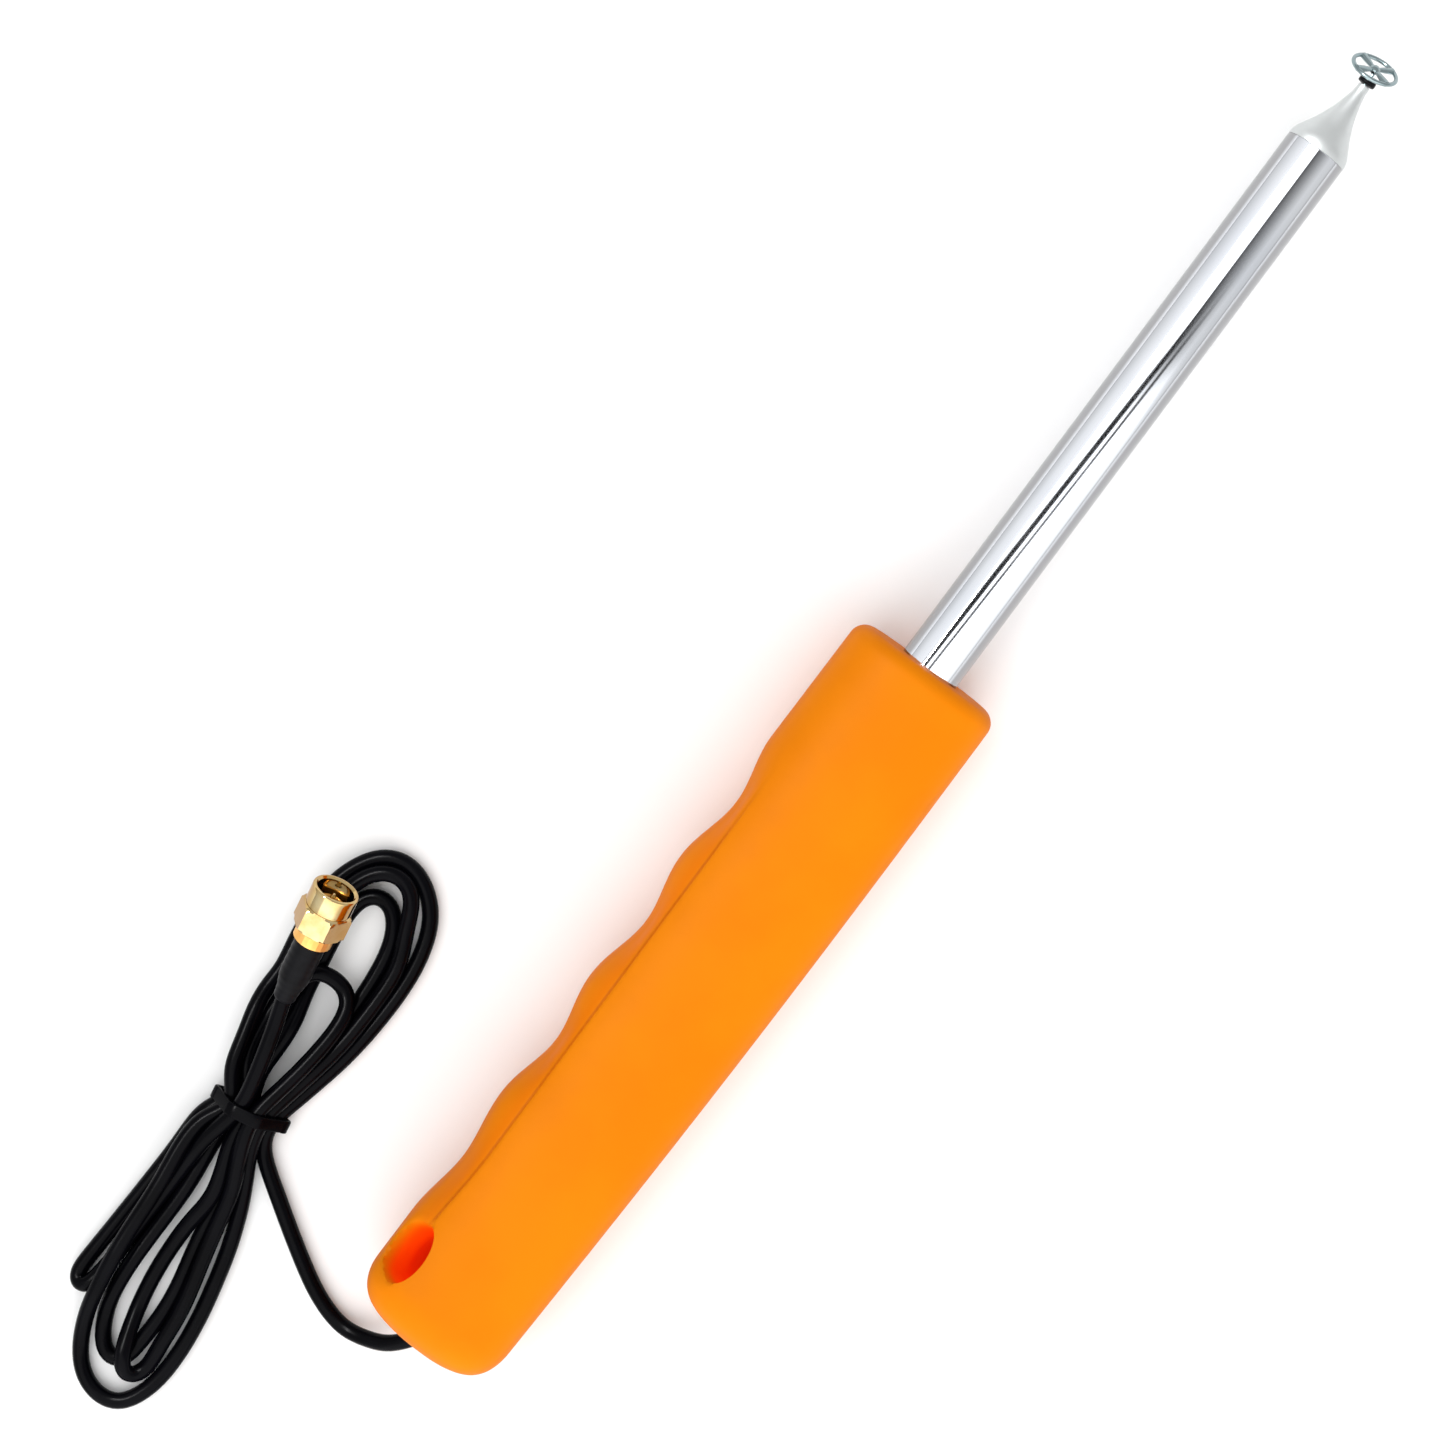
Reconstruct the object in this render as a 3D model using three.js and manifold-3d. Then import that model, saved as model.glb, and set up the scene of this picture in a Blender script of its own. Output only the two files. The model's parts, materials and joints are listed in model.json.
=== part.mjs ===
// Hand-held pinpointer probe: an orange silicone grip over a two-part core, a chrome mast tube with a turned
// nose and a wire pickup wheel, and a thin coax lead that ends in an SMA plug. Millimetres, +Z up.
// In the probe's own frame the mast axis is the X axis and X = 0 is the flat top end of the grip.
import * as THREE from 'three';
import { mergeVertices } from 'three/addons/utils/BufferGeometryUtils.js';
import Module from 'manifold-3d';

const wasm = await Module();
wasm.setup();

// ---- Driving dimensions ----
const gap = 0.3; // between pieces that touch
const fineGap = 0.15; // between the small turned pieces of the plug

const gripLength = 139.2;
const gripThickness = 24.6;
const spineTop = 13.5; // mast axis to the palm side, at the top end
const spineButt = 11.3; // the same at the butt
const spineBow = 0.85; // how far the palm side bows out between its ends
const fingerTop = 13.7; // mast axis to the finger side, at the top end
const fingerButt = 15.2; // the same at the butt
const backFlat = 0.4; // depth of the flat that the grip rests on
const sectionPower = 2.6; // 2 is an ellipse, higher is squarer
const topCorner = 2.6;
const buttCorner = 4.2;
const buttDome = 1.6;
const buttNose = 2.6; // how far the butt rounds away towards front and back
const groovePitch = 24.3;
const grooveDepths = [1.9, 1.9, 1.9, 1.3]; // from the top end
const firstGroove = 35.8; // from the top end to the middle of the first finger groove
const sleeveWall = 2.6;
const valleyWall = 1.9; // silicone left under a finger groove
const sleeveLip = 3; // silicone over the top end of the core
const lanyardLong = 9.6; // the lanyard bore is an ellipse, longer along the grip
const lanyardWide = 7.4;
const lanyardFromButt = 12.9;
const lanyardOffset = 8.5; // bore axis from the mast axis, at mid thickness
const lanyardSlant = 0.25; // sideways shift per millimetre of depth

const coreWall = 1.6;
const coreLength = 112;
const coreEndWall = 2.5;
const bossRadius = 2.7;
const bossOffset = 5;
const bossPlaces = [42, 68, 100]; // down from the top end
const screwShank = 1.1;
const screwHead = 2.1;
const screwHeadHeight = 1.5;
const screwHeadDepth = 2.7; // head face below the core's back
const screwLength = 11;

const mastDiameter = 10.4;
const mastWall = 0.9;
const mastReach = 101.5; // top end of the grip to the tube's far end
const mastSeat = 31; // tube length inside the grip
const socketDiameter = 14.2;
const socketLength = 30;
const socketWaist = 12.6;
const waistWidth = 4;
const grubDiameter = 3;
const grubLength = 2.7;
const grubPlaces = [12, 27]; // down from the top end

const noseSpigot = 11;
const shoulderLength = 2.4;
const coneLength = 9.4;
const neckDiameter = 1.9;
const neckLength = 1.2;
const collarDiameter = 2.5;
const collarLength = 0.9;
const stemLength = 2.1; // collar to the middle of the wheel
const wheelDiameter = 7.8;
const wheelWire = 0.7;
const spokeWidth = 1.3;
const hubDiameter = 1.7;
const wheelLean = 24; // degrees towards the front
const wheelCant = 6.7; // degrees towards the finger side

const coaxDiameter = 2.8;
const wireDiameter = 0.6;
const jacketShort = 2.5; // end of the jacket, before the nose spigot
const beadLength = 5;
const beadCount = 3;
const firstBead = 14; // from the grip's top end
const lastBead = 8; // back from the jacket's end
const clampPlace = 84; // cable clamp, down from the top end
const clampBar = 5;
const clampThickness = 2;
const clampScrewSpread = 4.6;
const postRadius = 2;

const grommetDiameter = 4.8;
const grommetLength = 5;
const exitDrop = 5.3; // lead exit below the mast axis
const exitSide = 1.5; // lead exit towards the finger side
const exitInset = 0.6; // grommet face back from the butt's end
const exitAim = new THREE.Vector3(-0.82, 0.54, -0.19).normalize();

const hankHeight = 7.6;
const hankTopRadius = 10.5;
const hankButtRadius = 12;
const hankWaist = 13.4;
const tieWidth = 3;
const tieThickness = 0.8;

const nutFlats = 8;
const nutHexLength = 4.6;
const nutRimLength = 3.6;
const nutRimDiameter = 7.9;
const nutBore = 6.3;
const nutNeckBore = 5;
const plugTilt = 20; // degrees up from the surface
const plugTurn = 8; // degrees from the mast's direction towards the finger side
const bootLength = 12;
const bootDiameter = 5.3;

// ---- Derived places ----
const mastRadius = mastDiameter / 2;
const axisHeight = gripThickness / 2 - backFlat;
const noseEnd = mastReach + shoulderLength + coneLength + neckLength;
const collarEnd = noseEnd + gap + collarLength;
const wheelX = collarEnd + stemLength;
const wheelRadius = (wheelDiameter - wheelWire) / 2;
const lean = THREE.MathUtils.degToRad(wheelLean);
const cant = THREE.MathUtils.degToRad(wheelCant);
const wheelAxisX = Math.cos(lean) * Math.cos(cant);
const tipX = wheelX + wheelRadius * Math.sqrt(1 - wheelAxisX ** 2) + wheelWire / 2;
const jacketEnd = mastReach - noseSpigot - jacketShort;
const coreInset = sleeveWall + gap;
const coreTop = -(sleeveLip + gap);
const coreButt = coreTop - coreLength;
const socketTo = coreTop - coreEndWall - gap;
const socketFrom = socketTo - socketLength;
const waistFrom = (socketFrom + socketTo - waistWidth) / 2;
const waistTo = waistFrom + waistWidth;
const lanyardX = -gripLength + lanyardFromButt;
const exitPoint = new THREE.Vector3(-gripLength + exitInset, exitSide, -exitDrop);
const coaxRadius = coaxDiameter / 2;
const splitGap = gap / 2;

// ---- Finishes ----
function finish(color, roughness, metalness) {
  return new THREE.MeshStandardMaterial({ color, roughness, metalness });
}
const silicone = () => finish(0xff9918, 0.55, 0);
const corePlastic = () => finish(0x2b2d30, 0.6, 0);
const brass = () => finish(0xb8963e, 0.35, 1);
const chrome = () => finish(0xe2e5e8, 0.08, 1);
const satinMetal = () => finish(0xb8bbbb, 0.42, 1);
const wheelPlate = () => finish(0x8fa3a3, 0.2, 1);
const blackPolymer = () => finish(0x111215, 0.35, 0);
const steel = () => finish(0x9a9ea2, 0.3, 1);
const copper = () => finish(0xb87345, 0.35, 1);
const whitePolymer = () => finish(0xe9e7df, 0.5, 0);
const gold = () => finish(0xe0b04a, 0.18, 1);

// ---- Solids ----
// A closed geometry as a solid, turned right side out if its profile was drawn the other way.
function solid(geometry) {
  const source = geometry.index ? geometry.toNonIndexed() : geometry.clone();
  source.deleteAttribute('normal');
  source.deleteAttribute('uv');
  const merged = mergeVertices(source, 1e-4);
  const triVerts = new Uint32Array(merged.index.array);
  const vertProperties = merged.attributes.position.array;
  const make = () => new wasm.Manifold(new wasm.Mesh({ numProp: 3, vertProperties, triVerts }));
  const made = make();
  if (made.volume() > 0) {
    return made;
  }
  for (let i = 0; i < triVerts.length; i += 3) {
    [triVerts[i + 1], triVerts[i + 2]] = [triVerts[i + 2], triVerts[i + 1]];
  }
  return make();
}

const cut = (body, ...tools) => tools.reduce((left, tool) => left.subtract(tool), body);
const join = (body, ...others) => others.reduce((left, other) => left.add(other), body);

function piece(name, body, material, parent) {
  const mesh = body.getMesh();
  const geometry = new THREE.BufferGeometry();
  const positions = new Float32Array(mesh.vertProperties);
  geometry.setAttribute('position', new THREE.BufferAttribute(positions, 3));
  geometry.setIndex(new THREE.BufferAttribute(new Uint32Array(mesh.triVerts), 1));
  geometry.computeVertexNormals();
  const node = new THREE.Mesh(geometry, material);
  node.name = name;
  parent.add(node);
  return node;
}

// A turned piece on the X axis, from [x, radius] pairs.
function turned(points, sides = 24) {
  const profile = points.map(([x, radius]) => new THREE.Vector2(radius, x));
  return solid(new THREE.LatheGeometry(profile, sides).rotateZ(-Math.PI / 2));
}

// A plain ring or bush on the X axis.
function bush(inner, outer, from, to, sides = 24) {
  return turned([[from, inner], [from, outer], [to, outer], [to, inner], [from, inner]], sides);
}

function rodX(radius, from, to, sides = 24) {
  const geometry = new THREE.CylinderGeometry(radius, radius, to - from, sides);
  return solid(geometry.rotateZ(-Math.PI / 2).translate((from + to) / 2, 0, 0));
}

function rodZ(radius, from, to, x, y, sides = 16) {
  const geometry = new THREE.CylinderGeometry(radius, radius, to - from, sides);
  return solid(geometry.rotateX(Math.PI / 2).translate(x, y, (from + to) / 2));
}

function block(from, to) {
  const size = to.map((value, i) => value - from[i]);
  const geometry = new THREE.BoxGeometry(...size);
  return solid(geometry.translate(...to.map((value, i) => (value + from[i]) / 2)));
}

// A round rod along a smooth curve through the points.
function rodAlong(points, radius, steps, sides = 8) {
  const section = new THREE.Shape();
  for (let i = 0; i < sides; i += 1) {
    const angle = (i / sides) * 2 * Math.PI;
    const place = [radius * Math.cos(angle), radius * Math.sin(angle)];
    if (i === 0) {
      section.moveTo(...place);
    } else {
      section.lineTo(...place);
    }
  }
  const places = points.map((point) => new THREE.Vector3(...point));
  const extrudePath = new THREE.CatmullRomCurve3(places, false, 'centripetal');
  return solid(new THREE.ExtrudeGeometry(section, { steps, extrudePath, bevelEnabled: false }));
}

// A piece made on the X axis with its front at X = 0, carried to a place and aimed along a direction.
function aimed(body, place, direction) {
  const turn = new THREE.Quaternion().setFromUnitVectors(new THREE.Vector3(1, 0, 0), direction);
  const matrix = new THREE.Matrix4().compose(place, turn, new THREE.Vector3(1, 1, 1));
  return body.transform(matrix.elements);
}

// ---- The grip's form ----
const mix = THREE.MathUtils.lerp;
const spineHalf = (x) => {
  const along = -x / gripLength;
  return mix(spineTop, spineButt, along) + spineBow * Math.sin(Math.PI * along);
};
const fingerHalf = (x) => mix(fingerTop, fingerButt, -x / gripLength);

// Depth of the finger grooves at x: smooth valleys between equal crests.
function grooveAt(x) {
  const along = (-x - firstGroove) / groovePitch;
  const depth = grooveDepths[Math.round(along)] ?? 0;
  return depth * (0.5 + 0.5 * Math.cos(2 * Math.PI * along));
}

// Distance from the mast axis to the grip's skin, in the direction of the angle (0 is the finger side).
function skinRadius(x, angle, inset, grooved) {
  const side = Math.cos(angle);
  const front = Math.sin(angle);
  const dip = grooved ? 0 : grooveDepths[0] - sleeveWall + valleyWall;
  const half = side > 0 ? fingerHalf(x) - dip : spineHalf(x);
  const across = Math.abs(side / (half - inset)) ** sectionPower;
  const through = Math.abs(front / (gripThickness / 2 - inset)) ** sectionPower;
  const radius = (across + through) ** (-1 / sectionPower);
  const facing = THREE.MathUtils.smoothstep(side, 0.72, 0.94);
  return radius - (grooved ? grooveAt(x) * facing : 0);
}

// The grip's outer form, or an inner form that follows it at an inset, from top to butt.
function gripForm({ top, butt, inset, grooved, topRound, buttRound, dome, step, sides }) {
  const rim = 10; // lathe radius of the plain side, before it takes the section's shape
  const profile = [[0, butt]];
  for (let i = 0; i <= 4 && buttRound > 0; i += 1) {
    const angle = (i / 4) * (Math.PI / 2);
    const x = butt + dome + buttRound * (1 - Math.cos(angle));
    profile.push([rim - buttRound * (1 - Math.sin(angle)), x]);
  }
  if (buttRound === 0) {
    profile.push([rim, butt]);
  }
  const first = profile.at(-1)[1];
  const last = top - topRound;
  const count = Math.ceil((last - first) / step);
  for (let i = 1; i <= count; i += 1) {
    profile.push([rim, mix(first, last, i / count)]);
  }
  for (let i = 1; i <= 3 && topRound > 0; i += 1) {
    const angle = (i / 3) * (Math.PI / 2);
    profile.push([rim - topRound * (1 - Math.cos(angle)), last + topRound * Math.sin(angle)]);
  }
  profile.push([0, top]);
  const geometry = new THREE.LatheGeometry(profile.map(([r, x]) => new THREE.Vector2(r, x)), sides);
  geometry.rotateZ(-Math.PI / 2);
  const position = geometry.attributes.position;
  for (let i = 0; i < position.count; i += 1) {
    const x = position.getX(i);
    const y = position.getY(i);
    const z = position.getZ(i);
    const radius = Math.hypot(y, z);
    if (radius < 1e-6) {
      continue;
    }
    const angle = Math.atan2(z, y);
    const round = x > (top + butt) / 2 ? topRound : buttRound;
    const full = skinRadius(x, angle, inset, grooved);
    const kept = radius > rim - round - 1e-4 ? full - (rim - radius) : (full * radius) / rim;
    const away = (kept * Math.abs(Math.sin(angle)) * 2) / gripThickness;
    const fade = THREE.MathUtils.smoothstep(butt + 22 - x, 0, 22);
    const pull = dome > 0 ? buttNose * away ** 1.6 * fade : 0;
    position.setXYZ(i, x + pull, kept * Math.cos(angle), kept * Math.sin(angle));
  }
  return solid(geometry);
}

// The lead inside the grip: straight through the core, then down and out through the butt.
function innerLead(radius) {
  const start = -mastSeat - 2;
  const aim = exitAim;
  const seat = exitPoint.clone().addScaledVector(aim, -grommetLength);
  const bend = seat.clone().addScaledVector(aim, -2.2);
  const points = [
    exitPoint.toArray(),
    seat.toArray(),
    bend.toArray(),
    [mix(coreButt, bend.x, 0.5), bend.y * 0.7, bend.z * 0.42],
    [coreButt + 3, 0, 0],
    [mix(start, coreButt, 0.5), 0, 0],
    [start, 0, 0],
  ];
  return rodAlong(points, radius, 22);
}

// ---- Grip sleeve ----
function lanyardTool() {
  const geometry = new THREE.CylinderGeometry(0.5, 0.5, gripThickness * 2, 24);
  geometry.scale(lanyardLong, 1, lanyardWide);
  geometry.rotateX(Math.PI / 2);
  geometry.rotateX(-Math.atan(lanyardSlant));
  return solid(geometry.translate(lanyardX, lanyardOffset, 0));
}

function gripSleeve(parent) {
  const outer = gripForm({
    top: 0,
    butt: -gripLength,
    inset: 0,
    grooved: true,
    topRound: topCorner,
    buttRound: buttCorner,
    dome: buttDome,
    step: 4.05,
    sides: 40,
  });
  const pocket = gripForm({
    top: -sleeveLip,
    butt: coreButt - gap,
    inset: sleeveWall,
    grooved: false,
    topRound: 0,
    buttRound: 0,
    dome: 0,
    step: 20,
    sides: 24,
  });
  const mastHole = rodX(mastRadius + gap, -sleeveLip - 1, 1, 28);
  const passage = innerLead(coaxRadius + gap);
  const seat = aimed(rodX(grommetDiameter / 2 + gap, -grommetLength - gap, 6, 16), exitPoint, exitAim);
  const flatTool = block([-gripLength - 5, -30, -30], [5, 30, -axisHeight]);
  const sleeve = cut(outer, pocket, mastHole, passage, seat, lanyardTool(), flatTool);
  piece('grip_sleeve', sleeve, silicone(), parent);
}

// ---- Core: two shells split at mid thickness ----
const bossAt = (place) => [-place, bossOffset];

function core(parent) {
  const form = (inset, top, butt) => gripForm({
    top,
    butt,
    inset,
    grooved: false,
    topRound: 0,
    buttRound: 0,
    dome: 0,
    step: 20,
    sides: 24,
  });
  const outer = form(coreInset, coreTop, coreButt);
  const cavity = form(coreInset + coreWall, coreTop - coreEndWall, coreButt + coreEndWall);
  const filler = (body) => body.intersect(outer);
  const half = gripThickness;
  const saddle = filler(block([waistFrom + gap, -half, -half], [waistTo - gap, half, half]));
  const mastHole = rodX(mastRadius + gap, socketTo - 1, 1, 28);
  const waistHole = rodX(socketWaist / 2 + gap, socketFrom, socketTo - 1, 28);
  const leadHole = innerLead(coaxRadius + gap);
  const shell = cut(join(cut(outer, cavity), saddle), mastHole, waistHole, leadHole);
  const frontSide = block([-gripLength, -half, splitGap], [0, half, half]);
  const backSide = block([-gripLength, -half, -half], [0, half, -splitGap]);
  const grubHoles = grubPlaces.map((place) => rodZ(grubDiameter / 2 + 0.5, 3, half, -place, 0));

  const inner = gripThickness / 2 - coreInset - coreWall + 0.5;
  const frontBosses = bossPlaces.map((place) => filler(rodZ(bossRadius, splitGap, inner, ...bossAt(place))));
  const backBosses = bossPlaces.map((place) => filler(rodZ(bossRadius, -inner, -splitGap, ...bossAt(place))));
  const outside = gripThickness / 2 - coreInset;
  const headFace = -outside + screwHeadDepth;
  const headTop = headFace + screwHeadHeight;
  const screwTip = headTop + screwLength;
  const pilotRadius = screwShank + fineGap;
  const pilots = bossPlaces.map((place) => rodZ(pilotRadius, -half, screwTip + 0.5, ...bossAt(place), 12));
  const headSeats = bossPlaces.map((place) => rodZ(screwHead + gap, -half, headTop + gap, ...bossAt(place)));

  const clampX = -clampPlace;
  const postTop = coaxRadius - gap;
  const postSides = [-clampScrewSpread, clampScrewSpread];
  const posts = postSides.map((y) => filler(rodZ(postRadius, -inner, postTop, clampX, y)));
  const postHoles = postSides.map((y) => rodZ(pilotRadius, -inner + 1.5, postTop + 1, clampX, y, 12));
  const saddleRib = filler(block([clampX - 1.5, -4, -inner], [clampX + 1.5, 4, -coaxRadius - gap]));

  const front = cut(join(shell.intersect(frontSide), ...frontBosses), ...grubHoles, ...pilots);
  const backBlank = join(shell.intersect(backSide), ...backBosses, ...posts, saddleRib);
  piece('core_front', front, corePlastic(), parent);
  piece('core_back', cut(backBlank, ...pilots, ...headSeats, ...postHoles), corePlastic(), parent);

  bossPlaces.forEach((place, i) => {
    const head = rodZ(screwHead, headFace, headTop, ...bossAt(place));
    const shank = rodZ(screwShank, headTop - 0.1, screwTip, ...bossAt(place), 12);
    piece(`core_screw_${i + 1}`, join(head, shank), steel(), parent);
  });

  const barBottom = coaxRadius + gap / 2;
  const bar = block(
    [clampX - clampBar / 2, -clampScrewSpread - postRadius, barBottom],
    [clampX + clampBar / 2, clampScrewSpread + postRadius, barBottom + clampThickness],
  );
  const barHoles = postSides.map((y) => rodZ(pilotRadius, 0, 9, clampX, y, 12));
  piece('cable_clamp_bar', cut(bar, ...barHoles), corePlastic(), parent);
  postSides.forEach((y, i) => {
    const seat = barBottom + clampThickness + fineGap;
    const head = rodZ(screwHead * 0.9, seat, seat + 1.2, clampX, y, 16);
    const shank = rodZ(screwShank, seat - 6, seat + 0.1, clampX, y, 12);
    piece(`clamp_screw_${i + 1}`, join(head, shank), steel(), parent);
  });
}

// ---- Mast, its socket and the grub screws that hold it ----
function mast(parent) {
  const outer = socketDiameter / 2;
  const bore = mastRadius + gap;
  const body = turned([
    [socketFrom, bore],
    [socketFrom, outer],
    [waistFrom, outer],
    [waistFrom, socketWaist / 2],
    [waistTo, socketWaist / 2],
    [waistTo, outer],
    [socketTo, outer],
    [socketTo, bore],
    [socketFrom, bore],
  ], 28);
  const threads = grubPlaces.map((place) => rodZ(grubDiameter / 2 + fineGap, 2, 12, -place, 0));
  piece('mast_socket', cut(body, ...threads), brass(), parent);
  grubPlaces.forEach((place, i) => {
    const from = mastRadius + fineGap;
    const screw = rodZ(grubDiameter / 2, from, from + grubLength, -place, 0);
    const hex = rodZ(0.85, from + grubLength - 1.2, from + grubLength + 1, -place, 0, 6);
    piece(`grub_screw_${i + 1}`, cut(screw, hex), steel(), parent);
  });
  const tube = bush(mastRadius - mastWall, mastRadius, -mastSeat, mastReach, 36);
  piece('mast_tube', tube, chrome(), parent);
}

// ---- Nose, collar, stem and wheel ----
function nose(parent) {
  const spigot = mastRadius - mastWall - gap;
  const neck = neckDiameter / 2;
  const bore = wireDiameter / 2 + gap;
  const start = mastReach + gap;
  const coneStart = mastReach + shoulderLength;
  const spigotEnd = start - noseSpigot;
  const points = [[spigotEnd, bore], [spigotEnd, spigot], [start, spigot], [start, mastRadius]];
  for (let i = 1; i <= 4; i += 1) {
    const angle = (i / 4) * (Math.PI / 3.2);
    points.push([
      mix(start, coneStart, i / 4),
      mastRadius - (1 - Math.cos(angle)) * shoulderLength,
    ]);
  }
  const coneTop = points.at(-1)[1];
  for (let i = 1; i <= 8; i += 1) {
    const along = i / 8;
    const straight = mix(coneTop, neck, along);
    const hollow = (coneTop - neck) * 0.3 * along * Math.sin(along * Math.PI) * (1 - along * 0.3);
    points.push([mix(coneStart, coneStart + coneLength, along), straight - hollow * 0.75]);
  }
  points.push([noseEnd, neck], [noseEnd, bore], [spigotEnd, bore]);
  piece('nose_cone', turned(points, 28), satinMetal(), parent);
  const collar = bush(bore, collarDiameter / 2, noseEnd + gap, collarEnd, 20);
  piece('tip_collar', collar, blackPolymer(), parent);

  const wheel = new THREE.Group();
  wheel.position.set(wheelX, 0, 0);
  wheel.rotation.set(0, -lean, cant, 'ZYX');
  parent.add(wheel);
  const ring = solid(new THREE.TorusGeometry(wheelRadius, wheelWire / 2, 6, 32).rotateY(Math.PI / 2));
  const hub = turned([[-0.55, 0], [-0.55, hubDiameter / 2], [0.35, hubDiameter / 2], [0.7, 0]], 16);
  const spokes = [45, 135, 225, 315].map((degrees) => {
    const length = wheelRadius;
    const geometry = new THREE.CylinderGeometry(wheelWire * 0.42, spokeWidth / 2, length, 8);
    geometry.translate(0, length / 2, 0);
    geometry.rotateX(THREE.MathUtils.degToRad(degrees));
    return solid(geometry);
  });
  piece('pickup_wheel', join(ring, hub, ...spokes), wheelPlate(), wheel);

  const stemFrom = noseEnd - 6;
  const stemTo = wheelX - hubDiameter / 2 - 0.1;
  piece('tip_stem', rodX(wireDiameter / 2, stemFrom, stemTo, 10), copper(), parent);
}

// ---- Coax inside the probe ----
function feed(parent) {
  piece('feed_coax_grip', innerLead(coaxRadius), blackPolymer(), parent);
  const seam = -mastSeat - 2 + gap;
  piece('feed_coax_mast', rodX(coaxRadius, seam, jacketEnd, 12), blackPolymer(), parent);
  const wireEnd = noseEnd - 6 - gap;
  piece('feed_wire', rodX(wireDiameter / 2, jacketEnd + gap, wireEnd, 8), copper(), parent);
  for (let i = 0; i < beadCount; i += 1) {
    const place = mix(firstBead, jacketEnd - lastBead, i / (beadCount - 1));
    const outer = mastRadius - mastWall - gap;
    const bead = bush(coaxRadius + gap, outer, place - beadLength / 2, place + beadLength / 2, 20);
    piece(`centring_bead_${i + 1}`, bead, whitePolymer(), parent);
  }
  const grommet = bush(coaxRadius + gap, grommetDiameter / 2, -grommetLength, 0, 16);
  piece('butt_grommet', aimed(grommet, exitPoint, exitAim), blackPolymer(), parent);
}

// ---- Lead: the free run, the tied hank and the tail to the plug ----
// Plan places are measured from the exit, and heights from the surface that the probe lies on.
const layHeight = coaxRadius + 0.05;
const exitHeight = axisHeight - exitDrop;
const tieCentre = [12.6, 44.9];
const loopTop = [52, 46];
const loopButt = [-31, 41];
const plugRear = new THREE.Vector3(32.8, 50.9, hankHeight + 2.9);
const runPoints = [
  [exitAim.x * gap, exitAim.y * gap, exitHeight + exitAim.z * gap],
  [-3, 2, exitHeight - 1.1],
  [-6.4, 5.3, 3.5],
  [-8.1, 11.3, 1.8],
  [-6.1, 17.6, layHeight],
  [-2, 24.6, layHeight],
  [2.4, 31.2, layHeight],
  [4.8, 34.75, layHeight],
];

function lead(parent) {
  piece('lead_run', rodAlong(runPoints, coaxRadius, 20), blackPolymer(), parent);

  const half = hankWaist / 2;
  const outline = new THREE.Shape();
  outline.moveTo(tieCentre[0], tieCentre[1] + half);
  outline.absarc(...loopButt, hankButtRadius, Math.PI / 2, (3 * Math.PI) / 2);
  outline.lineTo(tieCentre[0], tieCentre[1] - half);
  outline.absarc(...loopTop, hankTopRadius, -Math.PI / 2, Math.PI / 2);
  const options = { depth: hankHeight, bevelEnabled: false, curveSegments: 14 };
  const bundle = new THREE.ExtrudeGeometry(outline, options);
  const waist = tieThickness + gap;
  const groove = block(
    [tieCentre[0] - tieWidth / 2 - gap, tieCentre[1] - 20, -1],
    [tieCentre[0] + tieWidth / 2 + gap, tieCentre[1] + 20, hankHeight + 1],
  );
  const throat = block(
    [tieCentre[0] - tieWidth, tieCentre[1] - half + waist, waist],
    [tieCentre[0] + tieWidth, tieCentre[1] + half - waist, hankHeight - waist],
  );
  piece('lead_hank', cut(solid(bundle), cut(groove, throat)), blackPolymer(), parent);
  const band = block(
    [tieCentre[0] - tieWidth / 2, tieCentre[1] - half, 0],
    [tieCentre[0] + tieWidth / 2, tieCentre[1] + half, hankHeight],
  );
  const hole = block(
    [tieCentre[0] - tieWidth, tieCentre[1] - half + tieThickness, tieThickness],
    [tieCentre[0] + tieWidth, tieCentre[1] + half - tieThickness, hankHeight - tieThickness],
  );
  piece('hank_tie', cut(band, hole), blackPolymer(), parent);
}

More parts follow.
